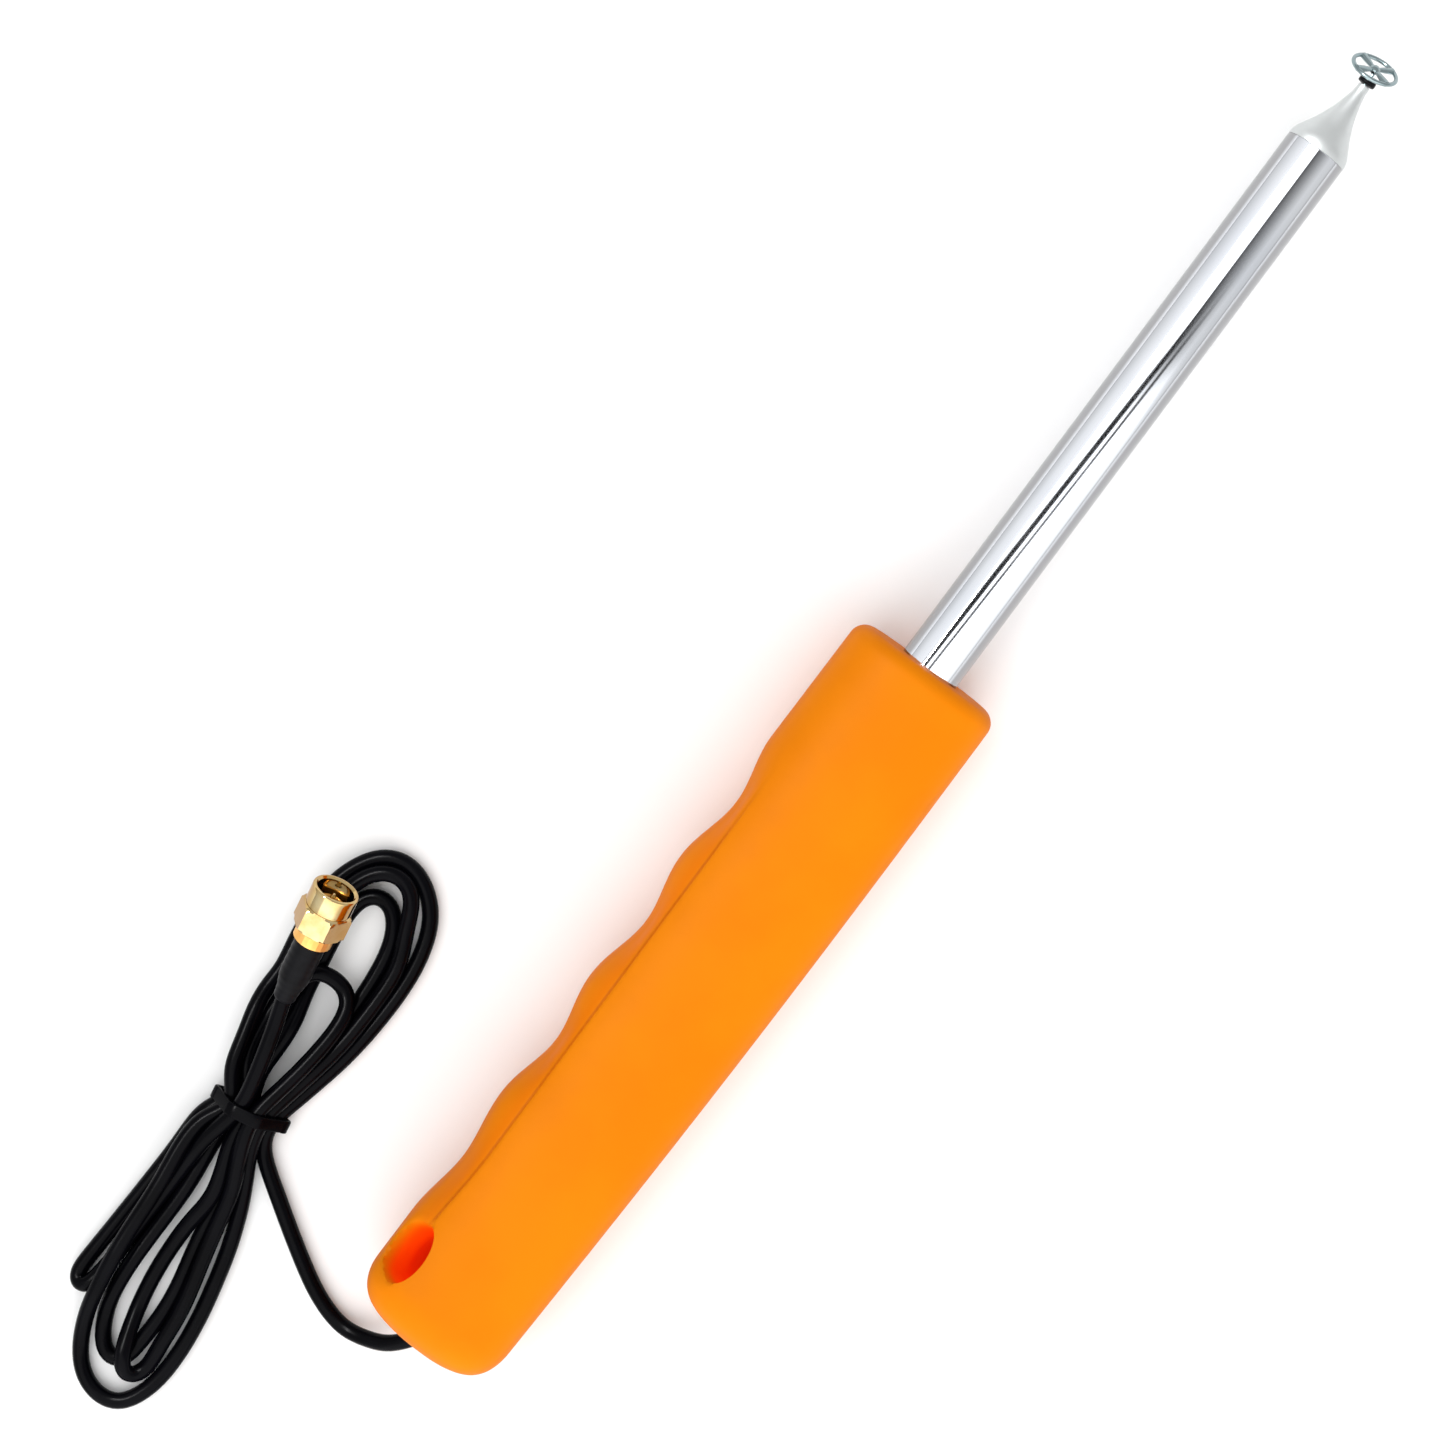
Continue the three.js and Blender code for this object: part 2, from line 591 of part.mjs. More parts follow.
// ---- SMA plug, along its own X axis with the front rim at X = 0 ----
function plug(parent) {
  const elevation = THREE.MathUtils.degToRad(plugTilt);
  const heading = THREE.MathUtils.degToRad(plugTurn);
  const aim = new THREE.Vector3(
    Math.cos(elevation) * Math.cos(heading),
    Math.cos(elevation) * Math.sin(heading),
    Math.sin(elevation),
  );
  const nutLength = nutRimLength + nutHexLength;
  const shoulder = 1.9; // body collar behind the nut
  const bootFrom = -nutLength - gap - shoulder - gap - bootLength;
  const origin = plugRear.clone().addScaledVector(aim, -bootFrom);
  const holder = new THREE.Group();
  holder.position.copy(origin);
  holder.quaternion.setFromUnitVectors(new THREE.Vector3(1, 0, 0), aim);
  parent.add(holder);

  const corner = nutFlats / 2 / Math.cos(Math.PI / 6);
  const hexBlank = new THREE.CylinderGeometry(corner, corner, nutHexLength, 6);
  hexBlank.rotateZ(-Math.PI / 2).translate(-nutRimLength - nutHexLength / 2, 0, 0);
  const envelope = turned([
    [-nutLength, 0],
    [-nutLength, corner - 0.7],
    [-nutLength + 0.5, corner],
    [-nutRimLength - 0.6, corner],
    [-nutRimLength, nutRimDiameter / 2],
    [-nutRimLength + 0.2, 0],
  ], 36);
  const rimBlank = turned([
    [-nutRimLength - 0.1, 0],
    [-nutRimLength - 0.1, nutRimDiameter / 2],
    [-0.3, nutRimDiameter / 2],
    [0, nutRimDiameter / 2 - 0.3],
    [0, 0],
  ], 36);
  const nutHole = rodX(nutBore / 2, -nutLength + 2, 1, 28);
  const neckHole = rodX(nutNeckBore / 2, -nutLength - 1, 1, 28);
  const nut = cut(join(solid(hexBlank).intersect(envelope), rimBlank), nutHole, neckHole);
  piece('sma_coupling_nut', nut, gold(), holder);

  const sleeveRadius = 2.25;
  const flangeRadius = nutBore / 2 - fineGap;
  const dielectricRadius = 1.75;
  const barrel = 1.55;
  const rear = -nutLength - gap - shoulder;
  const floor = -nutLength + 2 + fineGap;
  const body = turned([
    [-2.6, dielectricRadius + fineGap],
    [-2.6, sleeveRadius],
    [floor + 1, sleeveRadius],
    [floor + 1, flangeRadius],
    [floor, flangeRadius],
    [floor, sleeveRadius],
    [-nutLength - gap, sleeveRadius],
    [-nutLength - gap, 3.3],
    [rear, 3.3],
    [rear, barrel],
    [rear - 5, barrel],
    [rear - 5, dielectricRadius - 0.5],
    [rear, dielectricRadius - 0.5],
    [rear, dielectricRadius + fineGap],
    [-2.6, dielectricRadius + fineGap],
  ], 24);
  piece('sma_body', body, gold(), holder);
  const gasket = bush(sleeveRadius + fineGap, flangeRadius - fineGap, floor + 1 + fineGap, floor + 2, 20);
  piece('sma_gasket', gasket, blackPolymer(), holder);
  const pinRadius = 0.46;
  const dielectric = bush(pinRadius + fineGap, dielectricRadius, rear + fineGap, -2.9, 20);
  piece('sma_dielectric', dielectric, whitePolymer(), holder);
  const pin = turned([[rear - 4, 0], [rear - 4, pinRadius], [-1.5, pinRadius], [-1, 0.2], [-1, 0]], 12);
  piece('sma_center_pin', pin, gold(), holder);
  const ferrule = bush(barrel + 0.35, 2.15, rear - gap - 6.2, rear - gap, 20);
  piece('crimp_ferrule', ferrule, gold(), holder);
  const bootHead = 2.15 + fineGap;
  const boot = turned([
    [rear - gap, bootHead],
    [rear - gap, bootDiameter / 2],
    [bootFrom + 2.5, bootDiameter / 2],
    [bootFrom, bootDiameter / 2 - 0.5],
    [bootFrom, coaxRadius + fineGap],
    [rear - gap - 7.5, coaxRadius + fineGap],
    [rear - gap - 7, bootHead],
    [rear - gap, bootHead],
  ], 20);
  piece('heat_shrink_boot', boot, blackPolymer(), holder);

  const tailHeight = hankHeight + coaxRadius + gap;
  const into = (back) => plugRear.clone().addScaledVector(aim, back).toArray();
  const tailPoints = [
    into(3.4),
    into(0),
    [plugRear.x - 4.2, plugRear.y - 1.2, tailHeight],
    [plugRear.x - 11, plugRear.y - 3.4, tailHeight],
    [tieCentre[0] + tieWidth, tieCentre[1] + 2.4, tailHeight],
  ];
  piece('lead_tail', rodAlong(tailPoints, coaxRadius, 14), blackPolymer(), parent);
}

// ---- Assembly ----
const group = new THREE.Group();
const probe = new THREE.Group();
const places = Array.from({ length: 140 }, (_, i) => -i * gripLength / 140);
const spineMost = Math.max(...places.map(spineHalf));
const fingerMost = fingerHalf(-gripLength + buttDome + buttCorner);
probe.position.set(-(tipX - gripLength) / 2, (spineMost - fingerMost) / 2, axisHeight);
group.add(probe);
gripSleeve(probe);
core(probe);
mast(probe);
nose(probe);
feed(probe);
const leadFrame = new THREE.Group();
leadFrame.position.set(exitPoint.x, exitPoint.y, -axisHeight);
probe.add(leadFrame);
lead(leadFrame);
plug(leadFrame);

export default group;
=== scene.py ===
import json
import math
import bmesh
import bpy
import numpy as np
from mathutils import Euler, Matrix, Vector


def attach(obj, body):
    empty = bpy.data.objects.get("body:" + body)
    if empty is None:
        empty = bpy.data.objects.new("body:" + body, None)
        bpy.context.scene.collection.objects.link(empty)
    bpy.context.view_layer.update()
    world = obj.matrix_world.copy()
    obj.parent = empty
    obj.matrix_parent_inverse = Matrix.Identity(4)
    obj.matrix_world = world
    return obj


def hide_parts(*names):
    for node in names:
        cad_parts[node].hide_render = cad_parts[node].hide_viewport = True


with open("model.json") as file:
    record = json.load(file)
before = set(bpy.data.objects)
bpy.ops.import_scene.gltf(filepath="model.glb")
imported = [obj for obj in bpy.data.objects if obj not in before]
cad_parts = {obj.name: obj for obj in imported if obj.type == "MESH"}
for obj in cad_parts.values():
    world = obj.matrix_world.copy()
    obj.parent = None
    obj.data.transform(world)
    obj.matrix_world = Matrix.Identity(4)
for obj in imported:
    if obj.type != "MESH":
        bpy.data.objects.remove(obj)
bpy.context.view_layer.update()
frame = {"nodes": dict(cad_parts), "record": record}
mm = 0.001
mergeGap = 1e-4  # places nearer than this, in millimetres, are one
axisPlace = Vector((9.7787, -0.7889, 11.9))  # the mast axis at the flat top end of the grip
leadExit = Vector((-128.8213, 0.7111, 0))  # plan place where the lead leaves the butt
spin = frame["record"]["behaviour"]["joints"][0]
plugRim = Vector(spin["pos_m"])
plugAim = Vector(spin["axis"]).normalized()
print("frame loaded")


# Camera, with its place in millimetres and its turn in radians.
viewSetup = {"place": (37.02, 15.8, 609.45), "turn": (-0.06743, 0.06019, -0.93522), "lens": 93, "sensor": 36}


def addCamera():
    data = bpy.data.cameras.new("viewer")
    data.lens = viewSetup["lens"]
    data.sensor_width = viewSetup["sensor"]
    data.clip_start = 0.01
    data.clip_end = 20
    viewer = bpy.data.objects.new("viewer", data)
    viewer.location = Vector(viewSetup["place"]) * mm
    viewer.rotation_euler = Euler(viewSetup["turn"], "XYZ")
    bpy.context.collection.objects.link(viewer)
    bpy.context.scene.camera = viewer


addCamera()
print("camera placed")


# Helpers for finishes and pieces.
def linear(*srgb):
    return tuple((v / 255 / 12.92) if v <= 10 else ((v / 255 + 0.055) / 1.055) ** 2.4 for v in srgb) + (1,)


def finish(name, color, rough, metal=0.0, **sockets):
    mat = bpy.data.materials.new(name)
    mat.use_nodes = True
    shader = mat.node_tree.nodes["Principled BSDF"]
    shader.inputs["Base Color"].default_value = color
    shader.inputs["Roughness"].default_value = rough
    shader.inputs["Metallic"].default_value = metal
    for key, value in sockets.items():
        shader.inputs[key.replace("_", " ")].default_value = value
    return mat


def noise(mat, scale, detail, stretch=(1, 1, 1)):
    nodes, links = mat.node_tree.nodes, mat.node_tree.links
    place = nodes.new("ShaderNodeTexCoord")
    mapping = nodes.new("ShaderNodeMapping")
    mapping.inputs["Scale"].default_value = stretch
    texture = nodes.new("ShaderNodeTexNoise")
    texture.inputs["Scale"].default_value = scale
    texture.inputs["Detail"].default_value = detail
    texture.inputs["Roughness"].default_value = 0.55
    links.new(place.outputs["Object"], mapping.inputs["Vector"])
    links.new(mapping.outputs["Vector"], texture.inputs["Vector"])
    return texture.outputs["Fac"]


def blendColors(mat, factor, first, second, low=0.35, high=0.65):
    nodes, links = mat.node_tree.nodes, mat.node_tree.links
    ramp = nodes.new("ShaderNodeValToRGB")
    ramp.color_ramp.elements[0].position = low
    ramp.color_ramp.elements[1].position = high
    ramp.color_ramp.elements[0].color = first
    ramp.color_ramp.elements[1].color = second
    links.new(factor, ramp.inputs["Fac"])
    links.new(ramp.outputs["Color"], nodes["Principled BSDF"].inputs["Base Color"])


# How far each place turns away from the eye, 0 to 1.
def turnedAway(mat):
    weight = mat.node_tree.nodes.new("ShaderNodeLayerWeight")
    weight.inputs["Blend"].default_value = 0.5
    return weight.outputs["Facing"]


# Lays a second color over the base color where the factor is high.
def overlay(mat, factor, color, low, high):
    nodes, links = mat.node_tree.nodes, mat.node_tree.links
    base = nodes["Principled BSDF"].inputs["Base Color"]
    under = base.links[0].from_socket
    span = nodes.new("ShaderNodeMapRange")
    span.inputs["From Min"].default_value = low
    span.inputs["From Max"].default_value = high
    mix = nodes.new("ShaderNodeMix")
    mix.data_type = "RGBA"
    mix.inputs[7].default_value = color
    links.new(factor, span.inputs["Value"])
    links.new(span.outputs["Result"], mix.inputs[0])
    links.new(under, mix.inputs[6])
    links.new(mix.outputs[2], base)


def varyRough(mat, factor, low, high):
    nodes, links = mat.node_tree.nodes, mat.node_tree.links
    span = nodes.new("ShaderNodeMapRange")
    span.inputs["To Min"].default_value = low
    span.inputs["To Max"].default_value = high
    links.new(factor, span.inputs["Value"])
    links.new(span.outputs["Result"], nodes["Principled BSDF"].inputs["Roughness"])


def bump(mat, height, strength, distance):
    nodes, links = mat.node_tree.nodes, mat.node_tree.links
    node = nodes.new("ShaderNodeBump")
    node.inputs["Strength"].default_value = strength
    node.inputs["Distance"].default_value = distance
    links.new(height, node.inputs["Height"])
    links.new(node.outputs["Normal"], nodes["Principled BSDF"].inputs["Normal"])


# Makes a piece from a form, with its finish, its body and the CAD pieces that it stands for.
def addPiece(name, bm, slot, replaced, place, look=None, body="probe", sharp=35):
    bmesh.ops.transform(bm, matrix=place, verts=bm.verts)
    mesh = bpy.data.meshes.new(name)
    bm.to_mesh(mesh)
    bm.free()
    mesh.materials.append(finishes[look or slot])
    mesh.shade_smooth()
    mesh.set_sharp_from_angle(angle=math.radians(sharp))
    piece = bpy.data.objects.new(name, mesh)
    bpy.context.collection.objects.link(piece)
    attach(piece, body)
    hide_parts(*replaced)
    return piece


# A turned piece: the outline is a list of (distance along X, radius) in millimetres, spun round the X axis.
def turned(outline, steps, closed=False):
    bm = bmesh.new()
    line = [bm.verts.new((x, r, 0)) for x, r in outline]
    edges = [bm.edges.new(pair) for pair in zip(line, line[1:])]
    if closed:
        edges.append(bm.edges.new((line[-1], line[0])))
    bmesh.ops.spin(bm, geom=line + edges, cent=(0, 0, 0), axis=(1, 0, 0), angle=2 * math.pi, steps=steps,
                   use_merge=True)
    bmesh.ops.remove_doubles(bm, verts=bm.verts, dist=mergeGap)
    bmesh.ops.recalc_face_normals(bm, faces=bm.faces)
    return bm


# A rounded corner of an outline, from one point to another round a centre.
def corner(x, r, radius, start, end, count=5):
    angles = [math.radians(start + (end - start) * i / count) for i in range(count + 1)]
    return [(x + radius * math.cos(a), r + radius * math.sin(a)) for a in angles]


probePlace = Matrix.Scale(mm, 4) @ Matrix.Translation(axisPlace)


# Finishes.
# Painted light on the silicone, each by its attribute: painted shade along the crease, painted shade on the
# flank beside it, and a painted deep red in the depth of the bore.
siliconePaintedLight = {
    "creaseShade": (0.56, 0.125, 0.001, 1), "flank": (0.76, 0.178, 0.001, 1), "bore": (0.92, 0.095, 0.001, 1),
}


def siliconeFinish():
    mat = finish("orange silicone", (0.74, 0.2, 0.0015, 1), 0.5, Specular_IOR_Level=0.03)
    blendColors(mat, noise(mat, 55, 3), (0.72, 0.19, 0.0012, 1), (0.76, 0.21, 0.0018, 1))
    # Painted shade: a darker orange towards the edges that turn away from the eye.
    overlay(mat, turnedAway(mat), (0.66, 0.16, 0.0015, 1), 0.6, 1.0)
    # Painted shade in the crease and on the flank, and a painted deep red in the bore.
    marks = {}
    for name, color in siliconePaintedLight.items():
        mark = mat.node_tree.nodes.new("ShaderNodeAttribute")
        mark.attribute_name = name
        marks[name] = mark.outputs["Fac"]
        overlay(mat, marks[name], color, 0, 1)
    # Painted glow in the depth of the bore.
    glowInside(mat, marks["bore"])
    varyRough(mat, noise(mat, 220, 5), 0.44, 0.6)
    bump(mat, noise(mat, 2600, 3), 0.12, 0.00012)
    return mat


# Painted glow: the depth of the bore gives off a faint red light of its own, standing in for light let
# through the soft silicone, so that it stays bright.
def glowInside(mat, factor):
    nodes, links = mat.node_tree.nodes, mat.node_tree.links
    span = nodes.new("ShaderNodeMapRange")
    span.inputs["To Max"].default_value = 0.12
    nodes["Principled BSDF"].inputs["Emission Color"].default_value = (1, 0.06, 0, 1)
    links.new(factor, span.inputs["Value"])
    links.new(span.outputs["Result"], nodes["Principled BSDF"].inputs["Emission Strength"])


def chromeFinish():
    mat = finish("bright chrome plate", linear(238, 240, 244), 0.05, 1.0)
    blendColors(mat, noise(mat, 60, 3), linear(232, 236, 243), linear(238, 241, 246))
    # Painted reflection: grey towards the edges that turn away from the eye.
    overlay(mat, turnedAway(mat), (0.34, 0.34, 0.35, 1), 0.25, 0.4)
    varyRough(mat, noise(mat, 90, 5), 0.03, 0.075)
    return mat


def satinFinish(name, color, low, high, lines):
    mat = finish(name, color, low, 1.0)
    blendColors(mat, noise(mat, 150, 4), color, tuple(v * 0.93 for v in color[:3]) + (1,))  # a little darker
    rings = noise(mat, 900, 3, (6, 0.2, 0.2))
    varyRough(mat, rings, low, high)
    bump(mat, rings, 0.1 * lines, 0.00004)
    return mat


def jacketFinish():
    mat = finish("coax jacket", linear(4, 4, 6), 0.2, Specular_IOR_Level=0.045)
    blendColors(mat, noise(mat, 120, 4), linear(2, 2, 4), linear(6, 6, 10))
    varyRough(mat, noise(mat, 700, 5), 0.2, 0.3)
    bump(mat, noise(mat, 1500, 3), 0.1, 0.00008)
    return mat


def sleeveFinish():
    mat = finish("heat shrink", linear(8, 8, 10), 0.5, Specular_IOR_Level=0.08)
    blendColors(mat, noise(mat, 300, 4), linear(6, 6, 8), linear(14, 14, 18))
    varyRough(mat, noise(mat, 900, 5), 0.35, 0.5)
    bump(mat, noise(mat, 1400, 4), 0.2, 0.0001)
    return mat


def goldFinish():
    mat = finish("polished gold plate", (0.8, 0.62, 0.3, 1), 0.08, 1.0)
    blendColors(mat, noise(mat, 260, 3), (0.6, 0.49, 0.27, 1), (0.52, 0.35, 0.13, 1))
    # Painted shade: a darker brown towards the edges that turn away from the eye.
    overlay(mat, turnedAway(mat), (0.32, 0.15, 0.035, 1), 0.34, 0.8)
    varyRough(mat, noise(mat, 800, 5), 0.05, 0.12)
    return mat


def plainFinish(name, first, second, low, high, metal=0.0):
    mat = finish(name, first, low, metal)
    grain = noise(mat, 400, 5)
    blendColors(mat, grain, first, second)
    varyRough(mat, grain, low, high)
    bump(mat, noise(mat, 1200, 3), 0.1, 0.00005)
    return mat


finishes = {
    "grip_silicone": siliconeFinish(),
    "core_plastic": plainFinish("core plastic", linear(43, 45, 48), linear(52, 54, 57), 0.5, 0.7),
    "brass": plainFinish("turned brass", linear(190, 158, 78), linear(170, 138, 62), 0.25, 0.4, 1.0),
    "mast_chrome": chromeFinish(),
    "nose_satin": satinFinish("satin turned metal", linear(205, 208, 208), 0.42, 0.52, 0.6),
    "wheel_plate": satinFinish("wheel plating", linear(140, 155, 158), 0.12, 0.22, 0.3),
    "black_polymer": jacketFinish(),
    "boot_sleeve": sleeveFinish(),
    "screw_steel": plainFinish("screw steel", linear(160, 163, 167), linear(140, 143, 147), 0.25, 0.4, 1.0),
    "copper_wire": plainFinish("bare wire", linear(205, 140, 95), linear(186, 118, 74), 0.25, 0.4, 1.0),
    "white_polymer": plainFinish("white polymer", linear(233, 231, 223), linear(224, 221, 212), 0.4, 0.55),
    "gold_plate": goldFinish(),
    # Gold, painted lighter and oranger to stand in for light inside the plug's recess.
    "painted_lit_gold": plainFinish("gold inside the plug", (0.85, 0.5, 0.16, 1), (0.74, 0.4, 0.11, 1), 0.35, 0.5,
                               1.0),
}
# CAD pieces that show another finish than their slot's; the plug's body shows gold painted lighter and
# oranger, a painted light standing in for light inside the plug.
otherLook = {"tip_stem": "wheel_plate", "sma_body": "painted_lit_gold"}
for entry in frame["record"]["subparts"]:
    node = frame["nodes"][entry["node"]]
    for cadSlot in node.material_slots:
        cadSlot.material = finishes[otherLook.get(entry["node"], entry["material_slot"])]
print("finishes made")


# The lead: free run, tied hank and tail.
lead = {
    "diameter": 2.8,
    "step": 1.5,
    "passes": 260,
    "sinkFrom": 90,  # the pass from which the turns sink onto the table and each other
    "sink": 0.012,  # each pass
    "gap": 1.01,  # between the middles of touching turns, in diameters
    "push": 0.45,  # share of an overlap taken up in a pass
    "pull": 0.03,  # share of the way back to the laid route in a pass
    "heldEnds": (6, 8),  # points kept still at the butt and at the plug
    "near": 5,  # points this close along the lead don't push each other
    "rest": 1.45,  # centre height on the table
    "tightest": 2.2,  # bend radius of the folds
    "tieCentre": (12.6, 44.9),
    "tieTurn": 10,  # degrees that the tie is turned in plan
    "slots": [(4.2, 2.2), (-2.8, 4.6), (2.8, 4.6), (-1.4, 2.2), (1.4, 2.2), (0, 4.6), (1.4, 7.0), (-4.2, 2.2),
              (-1.4, 7.0)],
}
# Stretches between one pass through the tie and the next: places in plan from the exit, and heights.
leadStretches = [
    [(-0.2, 0.2, 6.5), (-3, 2, 5.5), (-5.2, 4, 4.4), (-7, 7.6, 2.8), (-7.9, 11.4, 1.8), (-6, 17.7, 1.45),
     (-1.9, 24.8, 1.45), (3.1, 32.4, 1.45), (7.1, 38.2, 1.6), (9.5, 40.2, 1.8)],
    [(20, 39.3, 1.5), (29.2, 37.6, 1.5), (39, 36.7, 1.5), (47.6, 36.9, 1.5), (53.5, 38.3, 1.5),
     (57, 40.3, 1.5), (59.5, 43.3, 1.5), (61.1, 47.6, 1.5), (60, 51.4, 1.5), (57.1, 53.7, 1.5),
     (52.4, 55.3, 1.5), (46.6, 55.3, 1.5), (40.6, 54.3, 1.5), (35.1, 53.2, 1.5), (31.9, 53.9, 2),
     (29.2, 54, 3), (26.7, 53.6, 4), (23.8, 52.7, 4.2), (20.4, 51.7, 4.2), (16.4, 50.7, 4.5)],
    [(7.4, 49.8, 5), (0.7, 49.7, 5.5), (-7.6, 49.3, 6.5), (-15.4, 49.1, 6.5), (-21.4, 48.6, 6.5),
     (-27.3, 47.9, 5), (-32.8, 46.5, 3), (-37.5, 44.3, 1.5), (-40.5, 41.6, 1.5), (-42.1, 37.8, 1.5),
     (-41.2, 33.8, 1.5), (-36.9, 31.5, 1.5), (-31.2, 30.6, 1.5), (-25.7, 30.7, 1.5), (-19.8, 31.5, 1.5),
     (-15.1, 32.5, 1.5), (-8.8, 34.1, 1.5), (-2.5, 36.4, 1.8), (2.7, 38.9, 2.5), (7.4, 41.1, 4)],
    [(21.6, 40.7, 4.3), (30.6, 38.9, 4.2), (39.8, 38.5, 4.2), (46.2, 39, 4.2), (51, 41.1, 4.2),
     (54.2, 42.5, 4.2), (57.1, 43.6, 4.2), (59, 45.8, 4.2), (59, 48.7, 4.2), (57.6, 51, 4.2), (54.5, 53, 4),
     (49.9, 54, 3), (44, 53.8, 1.5), (39, 53.1, 1.5), (33.7, 52.2, 1.5), (28.6, 51.1, 1.5),
     (24.1, 50.3, 1.5), (19, 49.6, 1.5)],
    [(6.5, 46.9, 2.3), (1.1, 46.6, 3.5), (-6.3, 46, 4), (-15.2, 46, 4), (-22.9, 45.7, 4), (-29, 44.7, 2.5),
     (-33.6, 42.4, 1.5), (-35.6, 40.5, 1.5), (-36.1, 37.9, 1.5), (-34.2, 36.9, 1.5), (-30.3, 36.7, 1.5),
     (-25.1, 36.5, 1.5), (-19, 37, 1.5), (-12.2, 38.5, 1.5), (-5.2, 39.9, 1.5), (1.2, 41.3, 1.5),
     (6.2, 42.6, 2)],
    [(20.5, 42.1, 2), (28.8, 41, 1.5), (37.5, 41, 1.5), (44.9, 41.5, 1.5), (49.4, 42.4, 1.5),
     (52, 43.8, 1.5), (54, 46, 1.5), (54.2, 48.7, 1.5), (53, 50.3, 1.5), (50.5, 51.4, 1.5),
     (46.4, 51.7, 1.5), (41.4, 51.1, 1.5), (36.8, 50.3, 1.5), (33.3, 49.7, 3), (28.2, 48.3, 4.2),
     (23.1, 47.7, 4.2), (18.3, 47.5, 4.5)],
    [(7.2, 44.2, 4.6), (1.7, 42, 4.2), (-2.8, 40.9, 4.2), (-9.8, 41.8, 3), (-17, 41.8, 1.8),
     (-23.5, 41, 1.8), (-28.8, 39.7, 2.5), (-32.6, 38.2, 4.2), (-35.6, 36.5, 3.5), (-36.6, 34.3, 1.5),
     (-34.3, 33.1, 1.5), (-28.5, 33.7, 3), (-21.8, 34.4, 4), (-13.8, 36.4, 4.2), (-7.1, 38.1, 4.2),
     (-0.4, 39.7, 4.6), (6.3, 41.9, 6.5)],
    [(19.8, 42.4, 6.8), (25.7, 41.5, 6.5), (31.9, 41.1, 6), (36.3, 41.6, 5), (38.3, 43.2, 4), (39, 45.9, 4),
     (38.8, 48.3, 4), (37.8, 50.2, 4), (35.9, 50.9, 4), (32.1, 50.8, 4), (26.5, 50, 2.5), (21.6, 49.3, 1.5),
     (17, 49.4, 1.5)],
    [(7.5, 51.1, 2.2), (-1.4, 51.2, 1.5), (-10.5, 51.5, 1.5), (-18.2, 51.8, 1.5), (-24.4, 52, 1.5),
     (-28.8, 52, 2), (-31.2, 51.2, 3.2), (-29.8, 49.5, 4.6), (-26.4, 49, 5), (-21.6, 48.6, 4.2),
     (-13.6, 48.5, 4.2), (-4.1, 48.5, 4.5), (4.6, 48.6, 6)],
    [(20.6, 47.5, 9.2), (28.6, 49.6, 9.3), (32.8, 50.9, 10.4), (36, 51.3, 11.6)],
]


# The places in the tie, left to right across it, as plan places from the exit.
def tieSlot(side, height):
    turn = math.radians(lead["tieTurn"])
    x, y = lead["tieCentre"]
    return (x + side * math.sin(turn), y - side * math.cos(turn), height)


# A smooth curve through points, sampled at an even step.
def smoothRoute(points, step):
    p = np.array(points, float)
    p = np.vstack([2 * p[0] - p[1], p, 2 * p[-1] - p[-2]])
    spans = []
    for a, b, c, d in zip(p, p[1:], p[2:], p[3:]):
        t = np.linspace(0, 1, 24, endpoint=False)[:, None]
        square, cube = 2 * a - 5 * b + 4 * c - d, 3 * b - a - 3 * c + d
        spans.append(0.5 * (2 * b + (c - a) * t + square * t**2 + cube * t**3))
    line = np.vstack(spans + [p[-2:-1]])
    along = np.concatenate([[0], np.cumsum(np.linalg.norm(np.diff(line, axis=0), axis=1))])
    even = np.linspace(0, along[-1], int(round(along[-1] / step)) + 1)
    return np.stack([np.interp(even, along, line[:, k]) for k in range(3)], 1)


# Spreads a correction over its neighbours along the lead, so that the lead stays smooth.
def spread(change, rounds):
    for _ in range(rounds):
        inner = (change[:-2] + 2 * change[1:-1] + change[2:]) / 4
        change = np.vstack([change[:1], inner, change[-1:]])
    return change


# Opens the bends that are tighter than the lead can take.
def eased(line, held):
    bend = (line[:-2] + line[2:]) / 2 - line[1:-1]
    size = np.maximum(np.linalg.norm(bend, axis=1), 1e-6)
    chord = np.linalg.norm(line[2:] - line[:-2], axis=1) / 2
    limit = chord**2 / (2 * lead["tightest"])
    share = np.clip(1 - limit / size, 0, 1) * 0.5
    share[held[1:-1]] = 0
    line = line.copy()
    line[1:-1] += bend * share[:, None]
    return line


# The route as it is laid, and the points on it that stay where they are.
def laidRoute():
    points = list(leadStretches[0])
    for stretch, place in zip(leadStretches[1:], lead["slots"]):
        points.append(tieSlot(*place))
        points.extend(stretch)
    base = smoothRoute(points, lead["step"])
    held = np.zeros(len(base), bool)
    held[:lead["heldEnds"][0]] = True
    held[-lead["heldEnds"][1]:] = True
    for place in lead["slots"]:
        nearest = int(np.argmin(np.linalg.norm(base - np.array(tieSlot(*place)), axis=1)))
        held[nearest - 1:nearest + 2] = True
    return base, held


